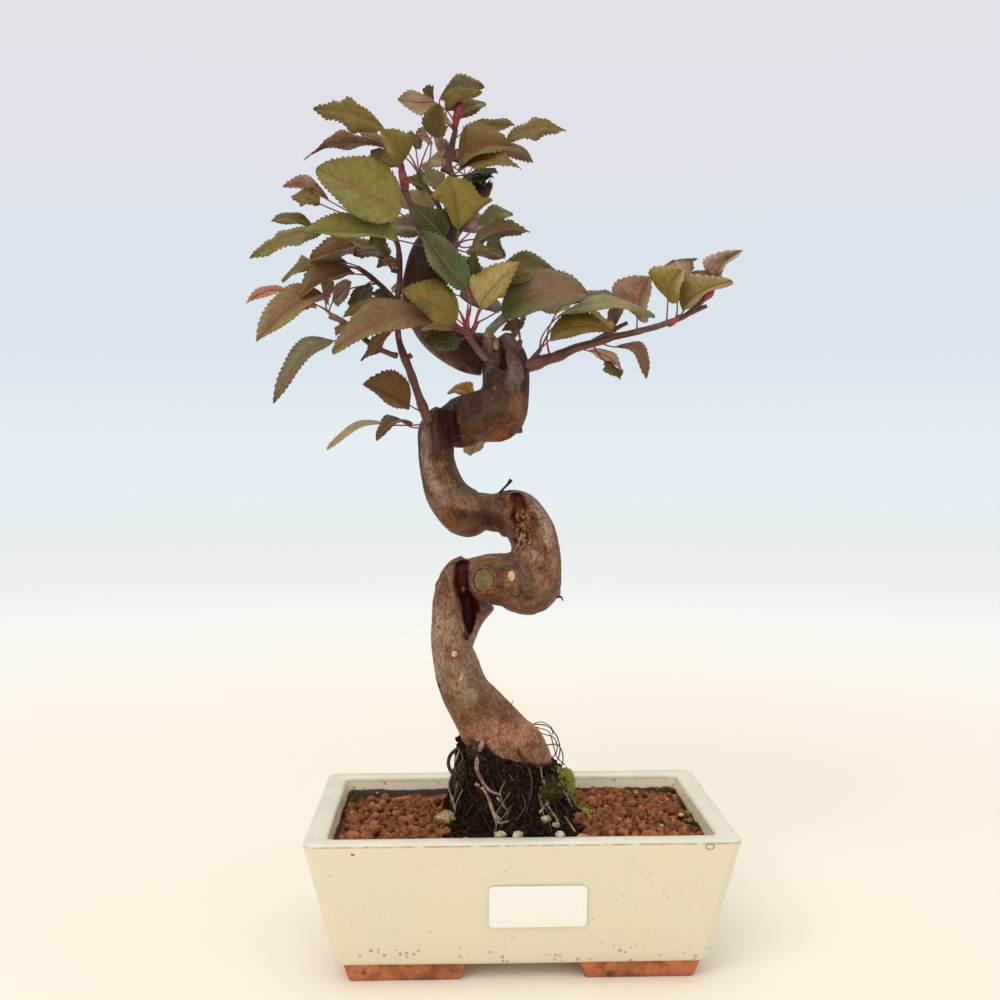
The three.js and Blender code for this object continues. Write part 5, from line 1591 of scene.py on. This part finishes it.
def makeRoots():
    rng = random.Random(21)
    names = list(roots)
    lines = []
    for radius, name, *marks in map(readRow, surfaceRoots):
        spots = [spot for spot in (onMound(mark, 0.35 * radius * mm) for mark in marks) if spot]
        knots = [(*spot, radius * mm * (1 - 0.12 * i)) for i, spot in enumerate(spots)]
        if len(knots) > 1:
            lines.append((smoothLine(knots, 8), names.index(name)))
    for radius, name, *marks in map(readRow, freeRoots):
        lines.append((smoothLine([(*place(*mark), radius * mm) for mark in marks], 8), names.index(name)))
    # Hair roots run down the mound all round
    for _ in range(ground["hairRoots"]):
        angle = rng.uniform(0, 2 * math.pi)
        z = rng.uniform(78, moundTop(angle) + 1)
        radius, out = 0.12 + 0.5 * rng.random() ** 3, rng.uniform(0.1, 1.6)
        knots = []
        for _ in range(rng.randint(3, 7)):
            knots.append((*moundPoint(z, angle, out + rng.uniform(-0.5, 0.9)), radius * mm))
            z -= rng.uniform(3.5, 8)
            angle += rng.gauss(0, 0.1)
            if z < 70:
                break
        if len(knots) > 1:
            lines.append((smoothLine(knots, 5), rng.choice((0, 2, 2, 2, 2, 2, 2, 3, 1))))
    addPiece("mossyRoots", tubes("mossyRoots", lines, sides=6), ["trunk"],
             [rootFinish(name) for name in names])


makeRoots()
print("roots ready")


# Moss that coats the mound and the soil: tones, count, radius, and marks down the line
mossCoats = [
    "mossBright 900 4.5 560,768 564,780 568,792 574,803",
    "mossBright 260 4 574,803 584,808 590,812",
    "mossDark 800 8 552,780 549,792 546,803",
    "mossDark 500 7 462,764 458,776 455,788",
    "mossDark 160 5 470,750 474,756",
    "mossDark 260 4 352,801 357,795 372,790 392,788",
    "mossBright 200 3 687,807 690,814 692,823",
    "mossDark 200 3 640,789 660,790 677,791",
    "mossBright 30 2 383,801",
]


def makeMossCoats():
    rng = random.Random(17)
    pieces = {"mossBright": [], "mossDark": []}
    for name, count, radius, *marks in map(readRow, mossCoats):
        for _ in range(int(count)):
            share = rng.random() * (len(marks) - 1)
            a, b = marks[int(share)], marks[min(int(share) + 1, len(marks) - 1)]
            mark = [p + (q - p) * (share % 1) + rng.gauss(0, 0.45 * radius) for p, q in zip(a, b)]
            spot = onMound(mark, 0.0)
            if spot:
                lean = Vector((rng.gauss(0, 0.6), rng.gauss(-0.5, 0.5), rng.gauss(0.6, 0.5))).normalized()
                pieces[name].append((spot, lean, rng.uniform(0.8, 2.2) * mm, rng.uniform(0.25, 0.5) * mm,
                                     rng.uniform(0.1, 0.75)))
    for name, blades in pieces.items():
        bm = bmesh.new()
        bm.verts.layers.float.new("shade")
        scatterShapes(bm, blades, addBlade)
        addPiece(name + "Coat", toMesh(bm, name + "Coat", 60), [mossPads[name][0]],
                 [makeMaterial(name + "Coat", mossBuilder(*ground[name]))])


makeMossCoats()
print("moss coats ready")


# Leafy shoots
foliage = {
    "blade": 0.34 * mm,
    "toothSpacing": 2.4 * mm,
    "tooth": 1.1 * mm,
    "widen": 1.18,
    "arch": 0.1,
    "quilt": 0.34 * mm,
    "wave": 0.8 * mm,
    "stalk": 0.44 * mm,
    "twig": "6c4236",
    "twigDark": "35211c",
    "twigLenticel": "b79a8a",
    "stalkTones": ("8a3438", "985a4c"),
    "budTones": ("9c3038", "5c2226"),
    "rib": "a0543e",
}
leafTones = {
    "dusk": "4c3f12", "olive": "6e601c", "lime": "857428", "sage": "857e3c", "moss": "6f6e48",
    "green": "3f4a20", "plum": "7c563c", "blush": "c0a08a", "straw": "b09c5c", "coral": "cc8270",
    "umber": "6a4c1e",
    "russet": "80421c", "tan": "a58a62", "orange": "d8962a", "leafGreen": "4f6a38",
}
# A leaf's row: outline, tones of blade, edge and, if it is young, base; then its root on the shoot, the
# base, middle and tip of the midrib, and the half widths as seen above and below it, and in truth.
# Leaves that show their underside are turned. Wood and buds are marks of across, down, depth and radius.
shoots = {
    "apex": {
        "wood": [
            "468,206,9,4 458,184,3,3.4 449,167,0,3.2 452,148,-1,3 456,129,-2,2.4",
            "450,172,0,2.6 442,167,-1,3",
        ],
        "buds": ["455,130,-2,2.4 457,118,-3,4 460,109,-4,4.4 462,103,-4,2"],
        "leaves": [
            "oval dusk olive 454,128 440,99,2 461,87,-3 484,86,-8 9,9,12",
            "oval olive dusk 456,125 455,120,3 471,107,6 486,104,9 7,7,11",
            "oval dusk olive 452,150 446,140,12 450,150,16 444,158,20 5,5,9",
            "round umber olive 452,168 459,163,-8 480,146,-14 513,147,-18 19,10,21",
            "lobed olive umber 451,172 458,172,-12 486,160,-20 521,169,-26 9,8,15",
            "oval dusk russet 452,160 490,151,-2 514,149,-2 533,163,-2 3,9,12",
            "lobed olive umber 453,150 506,141,5 535,129,7 566,131,9 8,10,13",
            "oval dusk green 452,176 470,174,-4 485,171,-7 498,174,-10 2,3,9",
            "oval green dusk 456,180 460,182,-2 477,176,-4 494,178,-6 3,5,10",
        ],
        "turned": [
            "oval sage straw 453,130 446,112,-5 459,99,-9 482,92,-12 9,6,12",
            "oval blush straw 452,131 434,102,3 416,102,7 398,99,11 7,11,12",
            "oval dusk olive 452,133 433,101,9 427,95,12 424,88,15 6,6,8",
            "oval blush plum 443,168 440,152,5 439,139,8 447,126,10 5,5,8",
            "oval sage straw 453,142 465,132,12 490,125,16 515,126,19 5,5,11",
        ],
    },
    "spur": {
        "wood": ["446,226,6,3 438,205,5,2.6 427,188,4,2.4 418,172,3,3"],
        "leaves": [
            "lobed olive umber 416,172 384,129,1 350,115,-4 313,109,-10 13,14,17",
            "round dusk olive 421,172 432,136,-12 438,121,-16 440,104,-20 12,9,15",
            "oval moss sage 418,172 416,150,12 414,140,15 411,131,18 5,5,8",
            "oval olive dusk 430,192 428,190,-2 417,183,-4 404,179,-6 5,5,10",
            "oval moss olive 430,192 444,190,-6 433,180,-8 421,173,-10 8,8,11",
        ],
        "turned": [
            "oval blush tan 417,172 385,142,9 372,137,13 360,134,18 5,6,10",
            "oval blush tan 421,172 431,142,14 424,136,18 415,136,22 5,5,8",
        ],
    },
    "topLeft": {
        "wood": ["440,268,-4,3.6 425,240,-9,3.4 411,208,-12,3.2 403,186,-13,3 403,172,-13,2.8"],
        "buds": ["405,190,-14,3.4 404,180,-15,4.6 402,170,-15,3.4 401,161,-15,1.6"],
        "leaves": [
            "round olive lime 403,176 402,163,-16 397,147,-21 380,131,-26 14,10,18",
            "oval olive umber 404,180 397,166,4 384,158,8 371,151,12 8,7,11",
            "round sage olive 423,241 400,213,-20 358,189,-26 316,169,-32 27,22,30",
            "round sage lime 428,250 397,240,-24 350,234,-32 303,234,-38 18,3,22",
        ],
        "turned": ["lobed plum blush 403,178 392,150,-4 345,143,-8 304,160,-14 7,6,14"],
    },
    "left": {
        "wood": [
            "432,428,-3,6 420,398,-9,4.2 412,376,-11,3.8 404,358,-12,4.2 399,338,-11,3.1 398,300,-8,3 "
            "400,270,-6,2.8 398,246,-5,2.6 391,230,-4,2.4 386,220,-4,2.2",
            "399,304,-8,3 385,289,-2,2.7 371,277,3,2.5 358,268,7,2.2",
            "400,272,-6,2.4 392,270,-8,2.6",
            "406,359,-12,3 412,355,-12,2.6",
        ],
        "leaves": [
            "lobed olive umber 388,224 320,204,3 306,197,5 291,197,7 7,9,13",
            "oval olive dusk 388,226 312,225,6 292,219,3 271,222,0 5,5,11",
            "lobed olive sage 390,230 324,231,-14 288,238,-19 250,259,-25 8,9,14",
            "round plum olive 392,269 356,247,-10 335,252,-14 310,260,-18 13,2,16",
            "oval olive umber 392,270 357,251,-5 335,256,-7 311,263,-9 3,4,10",
            "oval olive sage 360,269 322,263,8 300,268,9 282,282,11 4,4,10",
            "oval olive dusk 362,270 347,263,2 329,266,-1 311,273,-3 7,6,11",
            "round plum olive 372,279 354,274,-8 327,280,-14 300,297,-19 16,4,18",
            "round plum sage 376,284 323,294,-14 292,308,-20 257,342,-27 16,9,20",
            "oval green plum 374,282 366,285,0 360,296,-5 355,312,-9 7,9,13",
            "oval green dusk 397,303 392,303,-4 383,296,-6 371,294,-7 5,6,10",
            "oval plum olive 392,269 384,257,-9 371,252,-12 353,256,-15 3,6,11",
            "oval olive dusk 393,268 386,258,0 379,246,2 373,233,4 7,7,10",
            "oval olive umber 392,268 371,251,6 358,244,8 345,239,11 6,6,10",
            "oval olive dusk 399,304 394,303,-12 371,303,-20 343,318,-27 4,7,13",
            "round umber plum 424,415 409,405,-15 388,393,-21 363,385,-26 19,9,22",
            "oval tan straw 426,422 390,425,-14 360,427,-22 327,450,-30 3,3,13",
            "oval umber dusk 425,419 411,427,-20 395,422,-27 376,440,-34 5,4,13",
        ],
        "turned": [
            "oval plum blush 388,224 328,200,10 308,188,13 283,186,17 7,5,12",
            "lobed blush tan 360,269 318,263,14 308,262,17 298,261,20 3,7,9",
            "oval blush tan 398,306 394,306,2 387,308,4 378,305,7 3,4,8",
            "oval moss plum 395,271 400,264,4 390,262,8 377,267,11 6,6,10",
            "oval plum dusk 400,340 392,331,-24 378,345,-29 361,361,-33 5,5,12",
        ],
    },
    "fork": {
        "wood": [
            "397,356,-16,2.8 390,354,-18,2.8 374,346,-21,2.6 357,333,-25,2.5 344,322,-27,3 330,315,-29,3",
        ],
        "leaves": [
            "oval moss plum 357,334 334,341,-31 303,356,-34 274,404,-38 10,7,14",
            "oval plum olive 350,327 352,325,-28 345,329,-30 336,336,-32 5,4,9",
        ],
        "turned": [
            "oval coral blush 330,314 291,293,-2 268,291,0 246,304,2 4,4,10",
            "oval russet plum 331,313 316,305,-14 303,305,-10 289,309,-7 3,5,9",
            "oval blush sage 332,313 325,300,-8 328,290,2 334,281,10 6,6,10",
            "oval blush straw 334,313 333,301,-4 342,292,5 352,282,13 7,7,10",
        ],
    },
    "heart": {
        "wood": ["432,252,0,4 449,251,-11,3.2 459,243,-16,2.6"],
        "leaves": [
            "maple lime olive 459,243 458,230,-21 456,205,-26 447,176,-30 30,24,34",
            "round green dusk 456,248 444,239,-17 430,222,-18 410,204,-17 12,12,16",
            "oval moss olive 459,246 478,225,-12 495,214,-12 513,214,-12 6,8,11",
            "oval dusk green leafGreen 458,249 487,240,-8 497,247,-6 504,258,-4 5,7,9",
        ],
        "turned": [
            "lobed plum moss leafGreen 459,247 472,246,-19 499,231,-21 530,233,-23 12,7,15",
            "oval tan moss 457,251 466,252,-15 485,253,-15 505,259,-15 6,5,10",
        ],
    },
    "cluster": {
        "wood": [
            "498,363,-4,4 485,357,-13,3.6 474,344,-16,3.2 468,333,-19,3.6 466,322,-21,3.2",
            "470,336,-18,2.4 477,322,-20,2.6",
        ],
        "buds": [
            "467,328,-21,2 463,318,-23,1.5 459,310,-24,0.6",
            "468,326,-22,2 468,316,-24,1.3 470,306,-25,0.6",
            "474,328,-20,2 477,317,-22,1.3 482,308,-23,0.6",
            "465,330,-21,1.8 457,325,-23,1.2 451,320,-24,0.6",
        ],
        "leaves": [
            "oval green moss leafGreen 467,322 467,289,-24 444,262,-29 421,231,-33 14,12,18",
            "oval green dusk leafGreen 468,324 471,288,-16 474,271,-18 474,252,-20 8,8,12",
            "shoulder straw lime 476,323 480,307,-26 495,286,-30 521,262,-34 16,10,19",
            "oval dusk olive 476,326 494,286,-14 525,269,-16 556,271,-18 13,11,18",
            "round plum moss leafGreen 477,323 501,310,-22 545,292,-28 588,294,-33 20,17,25",
            "round lime dusk 467,330 457,319,-28 433,302,-34 403,290,-38 17,15,20",
            "oval green dusk 468,336 460,340,-24 443,343,-27 424,342,-30 8,9,13",
            "round plum sage 468,328 432,321,-30 381,320,-36 332,353,-42 15,13,21",
        ],
        "turned": ["oval tan straw 467,334 455,330,-24 440,325,-26 421,330,-28 4,5,8"],
    },
    "rightSpur": {
        "wood": ["510,359,-5,2.8 518,348,-14,2.4 520,340,-16,2.2"],
        "leaves": [
            "lobed russet dusk 520,342 518,334,-17 511,330,-19 502,330,-21 8,3,10",
            "oval dusk umber 520,342 519,330,-13 516,323,-12 513,315,-11 5,5,8",
        ],
    },
    "right": {
        "wood": [
            "524,367,-6,6.6 550,359,-9,5.4 575,349,-12,4.5 600,341,-15,3.8 630,333,-18,3.2 "
            "660,325,-21,3 682,317,-23,2.8 698,305,-25,2.8 712,291,-26,2.4",
            "588,344,-14,2.6 610,332,-10,2.4 627,323,-7,2",
            "690,313,-24,2.4 707,306,-26,2",
            "527,366,-7,3 541,349,-10,2.2",
        ],
        "buds": [
            "704,299,-26,3.4 709,294,-26,4.6 713,288,-26,2.2",
            "668,325,-21,2.4 673,322,-23,3 680,315,-24,1.6",
        ],
        "leaves": [
            "oval sage moss 542,350 558,317,-24 606,304,-30 655,317,-36 5,6,15",
            "oval dusk green 548,357 562,305,-12 591,297,-12 622,299,-12 4,3,13",
            "oval dusk umber 541,350 584,300,-2 599,295,0 612,294,2 4,3,8",
            "round olive plum 541,351 550,340,-27 577,326,-30 611,331,-33 13,8,18",
            "round lime straw 667,322 668,299,-24 672,283,-28 683,270,-32 20,12,24",
            "round lime tan 672,321 683,312,-27 699,294,-31 733,282,-35 17,5,20",
            "oval umber blush 712,291 716,280,-24 721,268,-23 743,251,-22 14,4,16",
            "oval dusk umber 711,291 713,277,-20 703,274,-17 692,274,-14 3,3,8",
            "oval plum umber 601,341 615,347,-17 637,351,-20 646,379,-23 6,6,13",
            "lobed dusk olive 594,344 605,362,-18 613,370,-21 620,380,-24 5,7,11",
        ],
        "turned": [
            "oval straw blush 613,338 612,331,-18 601,322,-21 590,311,-24 4,4,10",
            "round plum blush 636,330 637,316,-14 638,297,-9 649,276,-4 20,15,23",
            "forked blush plum 675,318 677,294,-14 675,278,-10 675,260,-6 16,16,18",
            "oval blush straw 580,348 589,351,-6 606,356,-3 621,369,0 5,4,10",
            "oval plum blush 615,338 615,325,-8 613,315,-3 612,303,2 8,7,12",
        ],
    },
    "rearLow": {
        "wood": ["428,300,14,3.6 438,294,30,3 448,288,46,2.4"],
        "leaves": [
            "oval olive plum 440,293 430,288,46 410,284,58 392,290,70 12,10,17",
            "oval plum olive 446,290 452,278,54 470,268,66 488,272,78 12,10,17",
            "round dusk olive 448,288 448,296,58 446,306,74 440,318,88 12,12,17",
            "oval olive moss 436,295 420,302,34 398,312,42 372,320,50 9,9,16",
            "oval plum dusk 444,291 460,296,48 484,300,60 500,304,70 9,9,16",
            "oval olive sage 447,288 440,276,56 436,262,68 428,252,80 12,10,17",
        ],
    },
    "rearMid": {
        "wood": ["444,232,15,3.6 446,236,32,3 450,238,48,2.4"],
        "leaves": [
            "oval olive dusk 446,236 430,232,42 404,226,52 376,228,62 10,10,17",
            "oval plum olive 450,238 462,230,56 478,224,68 496,228,80 11,10,16",
            "round sage olive 450,238 448,228,58 440,218,72 430,216,86 12,12,17",
            "oval olive umber 446,236 430,214,36 414,200,44 392,190,52 10,10,16",
            "oval moss olive 450,238 455,244,60 456,246,74 452,246,88 10,10,16",
        ],
    },
    "rearTop": {
        "wood": ["474,198,14,3.2 470,186,26,2.6 466,176,38,2.2"],
        "leaves": [
            "oval umber olive 466,176 474,166,44 488,156,54 500,160,64 10,10,16",
            "oval olive dusk 466,176 452,166,42 436,160,52 424,166,62 8,8,15",
            "oval dusk umber 467,178 464,164,46 468,152,58 476,144,70 11,10,15",
            "round olive plum 468,182 470,190,44 468,200,58 462,208,72 11,11,16",
        ],
    },
    "rearRight": {
        "wood": ["492,356,17,3.6 511,338,25,3 524,318,36,2.4"],
        "leaves": [
            "oval plum olive 524,318 532,304,42 546,294,52 562,292,62 11,11,17",
            "oval olive dusk 522,320 512,300,42 500,288,52 486,284,62 10,10,16",
            "round olive sage 524,318 534,306,34 552,302,36 570,306,40 8,10,16",
            "oval moss olive 518,328 508,322,44 498,322,58 486,330,70 6,8,15",
        ],
    },
    "rearShoot": {
        "wood": ["484,412,20,3 480,416,30,2.2"],
        "leaves": ["oval orange umber 482,414 473,398,32 461,390,35 447,394,38 6,6,13"],
        "turned": ["oval tan straw 480,416 479,436,33 475,446,37 471,456,41 8,8,13"],
    },
}

def swell(t, at, width):
    return math.exp(-((t - at) / width) ** 2)


outlines = {
    "oval": lambda t, side: math.sin(math.pi * t ** 0.85) ** 0.8,
    "round": lambda t, side: math.sin(math.pi * t ** 0.75) ** 0.65,
    "lobed": lambda t, side: math.sin(math.pi * t ** 0.8) ** 0.8 * (
        0.66 + 0.42 * swell(t, 0.5 + 0.05 * side, 0.1) + 0.3 * swell(t, 0.78 - 0.04 * side, 0.06)),
    "shoulder": lambda t, side: math.sin(math.pi * t ** 0.8) ** 0.8 * (
        1 + max(0, side) * swell(t, 0.22, 0.14) / 2),
    "forked": lambda t, side: math.sin(math.pi * t ** 1.7) ** 0.7 * 0.95,
    "maple": lambda t, side: np.interp(t, (0, 0.16, 0.28, 0.36, 0.43, 0.52, 0.62, 0.78, 0.9, 1), (
        0, 0.26, 0.42, 0.72, 1, 0.66, 0.58, 0.5, 0.36, 0) if side > 0 else (
        0, 0.26, 0.4, 0.48, 0.52, 0.55, 0.6, 0.86, 0.5, 0)),
}


def leafBuilder(under):
    def build(tree, surface, place):
        uv = addNode(tree, "ShaderNodeUVMap", uv_map="leaf").outputs[0]
        along, side = axisOf(tree, uv, "X"), axisOf(tree, uv, "Y")
        out = distance(tree, times(tree, side, 2), 1)
        main, second = attributeOf(tree, "leafTone", "Color"), attributeOf(tree, "edgeTone", "Color")
        clouds = useGroup(tree, cloudGroup, place, Scale=120, From=0.4, To=0.66)
        fringe = ease(tree, maths(tree, "ADD", out, times(tree, along, 0.35)), 0.5, 1.25)
        blend = maths(tree, "ADD", times(tree, clouds, 0.35), times(tree, fringe, 0.55))
        colour = mixTone(tree, blend, main, second)
        young = ease(tree, maths(tree, "ADD", along, times(tree, clouds, 0.25)), 0.2, 0.6, 0.7, 0)
        colour = mixTone(tree, young, colour, attributeOf(tree, "baseTone", "Color"))
        mottle = useGroup(tree, cloudGroup, place, Scale=420, From=0.42, To=0.6)
        colour = cover(tree, colour, mottle, 0.3, "a08c70", "MULTIPLY")
        # Side veins rise from the midrib to the margin
        slant = maths(tree, "SUBTRACT", times(tree, along, 8.5), times(tree, out, 1.9))
        comb = distance(tree, maths(tree, "FRACT", slant), 0.5)
        veins = ease(tree, comb, 0.0, 0.085, 1, 0)
        veins = times(tree, veins, ease(tree, out, 0.55, 1.0, 1, 0.15))
        rib = ease(tree, out, 0.015, 0.06, 1, 0)
        net = useGroup(tree, crackGroup, place, Scale=900, Width=0.08)
        veinTone = mixTone(tree, 0.45 if under else 0.35, main, "d8c9a4" if under else "b9a878")
        colour = cover(tree, colour, veins, 0.65 if under else 0.45, veinTone)
        colour = cover(tree, colour, net, 0.12, "3c2c1c")
        colour = cover(tree, colour, rib, 0.75, foliage["rib"])
        rim = ease(tree, out, 0.94, 1.0)
        colour = cover(tree, colour, rim, 0.35, "6a3a2a")
        ridge = times(tree, maths(tree, "ADD", veins, rib), 0.7 if under else -0.5)
        grain = useGroup(tree, reliefGroup, place, Coarse=700, Fine=2400, Grain=0.4)
        height = maths(tree, "ADD", ridge, times(tree, grain, 0.5))
        rough = ease(tree, clouds, 0, 1, 0.55, 0.66) if under else ease(tree, clouds, 0, 1, 0.36, 0.5)
        feed(tree, surface, {"Base Color": colour, "Roughness": rough, "Specular IOR Level": 0.28},
             height, 0.25)
    return build


def buildTwig(tree, surface, place):
    clouds = useGroup(tree, cloudGroup, place, Scale=110, From=0.4, To=0.66)
    colour = mixTone(tree, times(tree, clouds, 0.5), foliage["twig"], foliage["twigDark"])
    grey = useGroup(tree, cloudGroup, place, Scale=60, From=0.52, To=0.68)
    colour = cover(tree, colour, grey, 0.45, "8b7a6e")
    dots = useGroup(tree, spotGroup, place, Scale=520, Size=0.24, Share=0.14)
    colour = cover(tree, colour, dots, 0.7, foliage["twigLenticel"])
    skin = useGroup(tree, reliefGroup, place, Coarse=500, Fine=1800, Grain=0.4)
    height = maths(tree, "ADD", skin, times(tree, dots, 0.6))
    rough = ease(tree, clouds, 0, 1, 0.34, 0.5)
    feed(tree, surface, {"Base Color": colour, "Roughness": rough, "Specular IOR Level": 0.35}, height, 0.3)


def readLeaf(row):
    parts = readRow(row)
    look = [part for part in parts if isinstance(part, str)]
    *marks, widths = parts[len(look):]
    return (look, *marks, *widths)


def midribAt(ribs, t):
    base, middle, tip = ribs
    pull = middle * 2 - base * 0.5 - tip * 0.5
    return base * (1 - t) ** 2 + pull * 2 * t * (1 - t) + tip * t * t


# The spot on a shoot's wood that lies nearest to a mark
def rootOn(woods, across, down):
    spots = []
    for line in woods:
        for a, b in zip(line, line[1:]):
            for step in range(10):
                at = [p + step / 10 * (q - p) for p, q in zip(a, b)]
                spots.append((math.hypot(at[0] - across, at[1] - down), at))
    return place(*min(spots)[1][:3])


# A leaf's midrib, and for its upper (1) and lower (-1) half the way outwards and the way up from the blade
def leafFrame(leaf, turned):
    _, _, base, middle, tip, above, below, full = leaf
    ribs = [place(*mark) for mark in (base, middle, tip)]
    chord = ribs[2] - ribs[0]
    toEye = (eye - ribs[1]).normalized()
    side = chord.cross(toEye).normalized()
    if side.z < 0:
        side.negate()
    front = (toEye - chord * (toEye.dot(chord) / chord.length_squared)).normalized()
    turn = -1 if turned else 1
    halves = {}
    for sign, seen in ((1, above), (-1, below)):
        share = min(0.98, seen / full)
        rest = math.sqrt(1 - share * share)
        halves[sign] = (side * sign * share - front * turn * sign * rest,
                        side * rest + front * turn * share)
    return ribs, halves, side, (halves[1][1] + halves[-1][1]).normalized()


def addLeaf(bm, layers, leaf, turned, rng):
    outline, main, second, *young = leaf[0]
    ribs, halves, side, top = leafFrame(leaf, turned)
    halfWidth = spanAt(leaf[-1], ribs[1])
    length = (ribs[1] - ribs[0]).length + (ribs[2] - ribs[1]).length
    teeth = max(7, round(length / foliage["toothSpacing"]))
    rows, uvLayer, mainLayer, edgeLayer, baseLayer = 3 * teeth, *layers
    grid = bmesh.ops.create_grid(bm, x_segments=rows, y_segments=10, size=0.5)["verts"]
    faces = list(dict.fromkeys(f for v in grid for f in v.link_faces))
    for f in faces:
        f.material_index = 3
        for loop in f.loops:
            loop[uvLayer].uv = (loop.vert.co.x + 0.5, loop.vert.co.y + 0.5)
    phase, twist, ripple = rng.uniform(0, 6), rng.uniform(-0.1, 0.1), rng.uniform(0.6, 1.3)
    tint = rng.uniform(0.9, 1.12)
    toneA = [c * tint for c in tone(leafTones[main])[:3]] + [1]
    toneB = [c * tint for c in tone(leafTones[second])[:3]] + [1]
    toneC = tone(leafTones[young[0]]) if young else toneA
    profile = outlines[outline]
    for v in grid:
        t, s = v.co.x + 0.5, 2 * v.co.y
        out, sign = abs(s), 1 if s >= 0 else -1
        rim = out ** 6
        step = round(t * rows)
        number, part = divmod(step, 3)
        at = clamp(t + (0, 0.1, 0.75)[part] / rows * rim)
        reach = profile(at, sign) * (1 + 0.09 * noise.noise(Vector((phase, 4 * at, 3 * sign))))
        luck = 0.75 + 0.6 * noise.noise(Vector((phase + 1.7 * number, 9 * sign, 2.3)))
        tooth = foliage["tooth"] * rim * smooth(6 * reach) * luck * (-0.5, 0.25, 1)[part] * smooth(5 * at)
        if outline == "forked" and t > 0.8:
            reach *= 1 + 0.5 * out
        way, up = halves[sign]
        lateral = halfWidth * foliage["widen"] * reach * out + tooth
        arch = foliage["arch"] * halfWidth * reach * 4 * out * (1 - 0.75 * out)
        wave = foliage["wave"] * ripple * math.sin(2 * math.pi * 1.6 * at + phase + sign) * out ** 3
        vein = (8.5 * at - 1.9 * out) % 1
        quilt = foliage["quilt"] * math.sin(math.pi * vein) * 4 * out * (1 - out)
        sway = side * twist * halfWidth * math.sin(math.pi * at) * out
        v.co = midribAt(ribs, at) + way * lateral + up * (arch + wave + quilt) + sway
        v[mainLayer] = toneA
        v[edgeLayer] = toneB
        v[baseLayer] = toneC
    bmesh.ops.remove_doubles(bm, verts=grid, dist=1e-5)
    faces = [f for f in faces if f.is_valid]
    for f in faces:
        f.normal_update()
    if sum(f.normal.dot(top) * f.calc_area() for f in faces) < 0:
        bmesh.ops.reverse_faces(bm, faces=faces)
    for element in bmesh.ops.extrude_face_region(bm, geom=faces)["geom"]:
        if isinstance(element, bmesh.types.BMVert):
            element.co += top * foliage["blade"]
        elif isinstance(element, bmesh.types.BMFace):
            element.material_index = 3
    for f in faces:
        f.material_index = 4


def stalkLine(woods, leaf, turned):
    ribs, _, _, up = leafFrame(leaf, turned)
    start, base = rootOn(woods, *leaf[1]), ribs[0]
    way = (base - midribAt(ribs, 0.1)).normalized()
    bend = base.lerp(start, 0.45) + way * (start - base).length * 0.18
    radius = foliage["stalk"]
    knots = [(*start, 1.5 * radius), (*bend, radius), (*base, 0.95 * radius)]
    for t, share in ((0.25, 0.75), (0.5, 0.55), (0.72, 0.4), (0.9, 0.2)):
        knots.append((*(midribAt(ribs, t) - up * 0.1 * mm), share * radius))
    return smoothLine(knots, 5)


def woodLine(line):
    rows = smoothLine(knotsOf(line), 7)
    for row in rows:
        at = Vector(row[:3])
        node = 1 + 0.18 * smooth(noise.noise(at * 150) * 2.5)
        row[:3] += np.array(noise.noise_vector(at * 90)) * 0.35 * row[3]
        row[3] *= node * (1 + 0.06 * noise.noise(at * 500))
    return rows


def makeShoot(name, shoot, materials):
    rng = random.Random(name)
    leaves = [(readLeaf(row), part == "turned") for part in ("leaves", "turned")
              for row in shoot.get(part, [])]
    wood, buds = ([readRow(row) for row in shoot.get(part, [])] for part in ("wood", "buds"))
    lines = [(woodLine(line), 0) for line in wood] + [(woodLine(line), 2) for line in buds]
    lines += [(stalkLine(wood, leaf, turned), 1) for leaf, turned in leaves]
    bm = bmesh.new()
    bm.from_mesh(tubes(name + "Wood", lines, sides=8))
    layers = [bm.loops.layers.uv.new("leaf")]
    layers += [bm.verts.layers.float_color.new(label) for label in ("leafTone", "edgeTone", "baseTone")]
    for leaf, turned in leaves:
        addLeaf(bm, layers, leaf, turned, rng)
    return addPiece("shoot" + name[0].upper() + name[1:], toMesh(bm, name, 55),
                    ["shoot_" + name], materials)


shootMaterials = [
    makeMaterial("twigBark", buildTwig),
    plainFinish("leafStalk", foliage["stalkTones"], dict(Scale=70, From=0.4, To=0.62),
                dict(Coarse=900, Fine=2600, Grain=0.5), 0.12, 0.42),
    plainFinish("budScale", foliage["budTones"], dict(Scale=240, From=0.42, To=0.62),
                dict(Coarse=700, Fine=2200, Grain=0.4), 0.25, 0.4),
    makeMaterial("leafTop", leafBuilder(False)),
    makeMaterial("leafUnder", leafBuilder(True)),
]
for shootName, shoot in shoots.items():
    makeShoot(shootName, shoot, shootMaterials)
print("shoots ready")
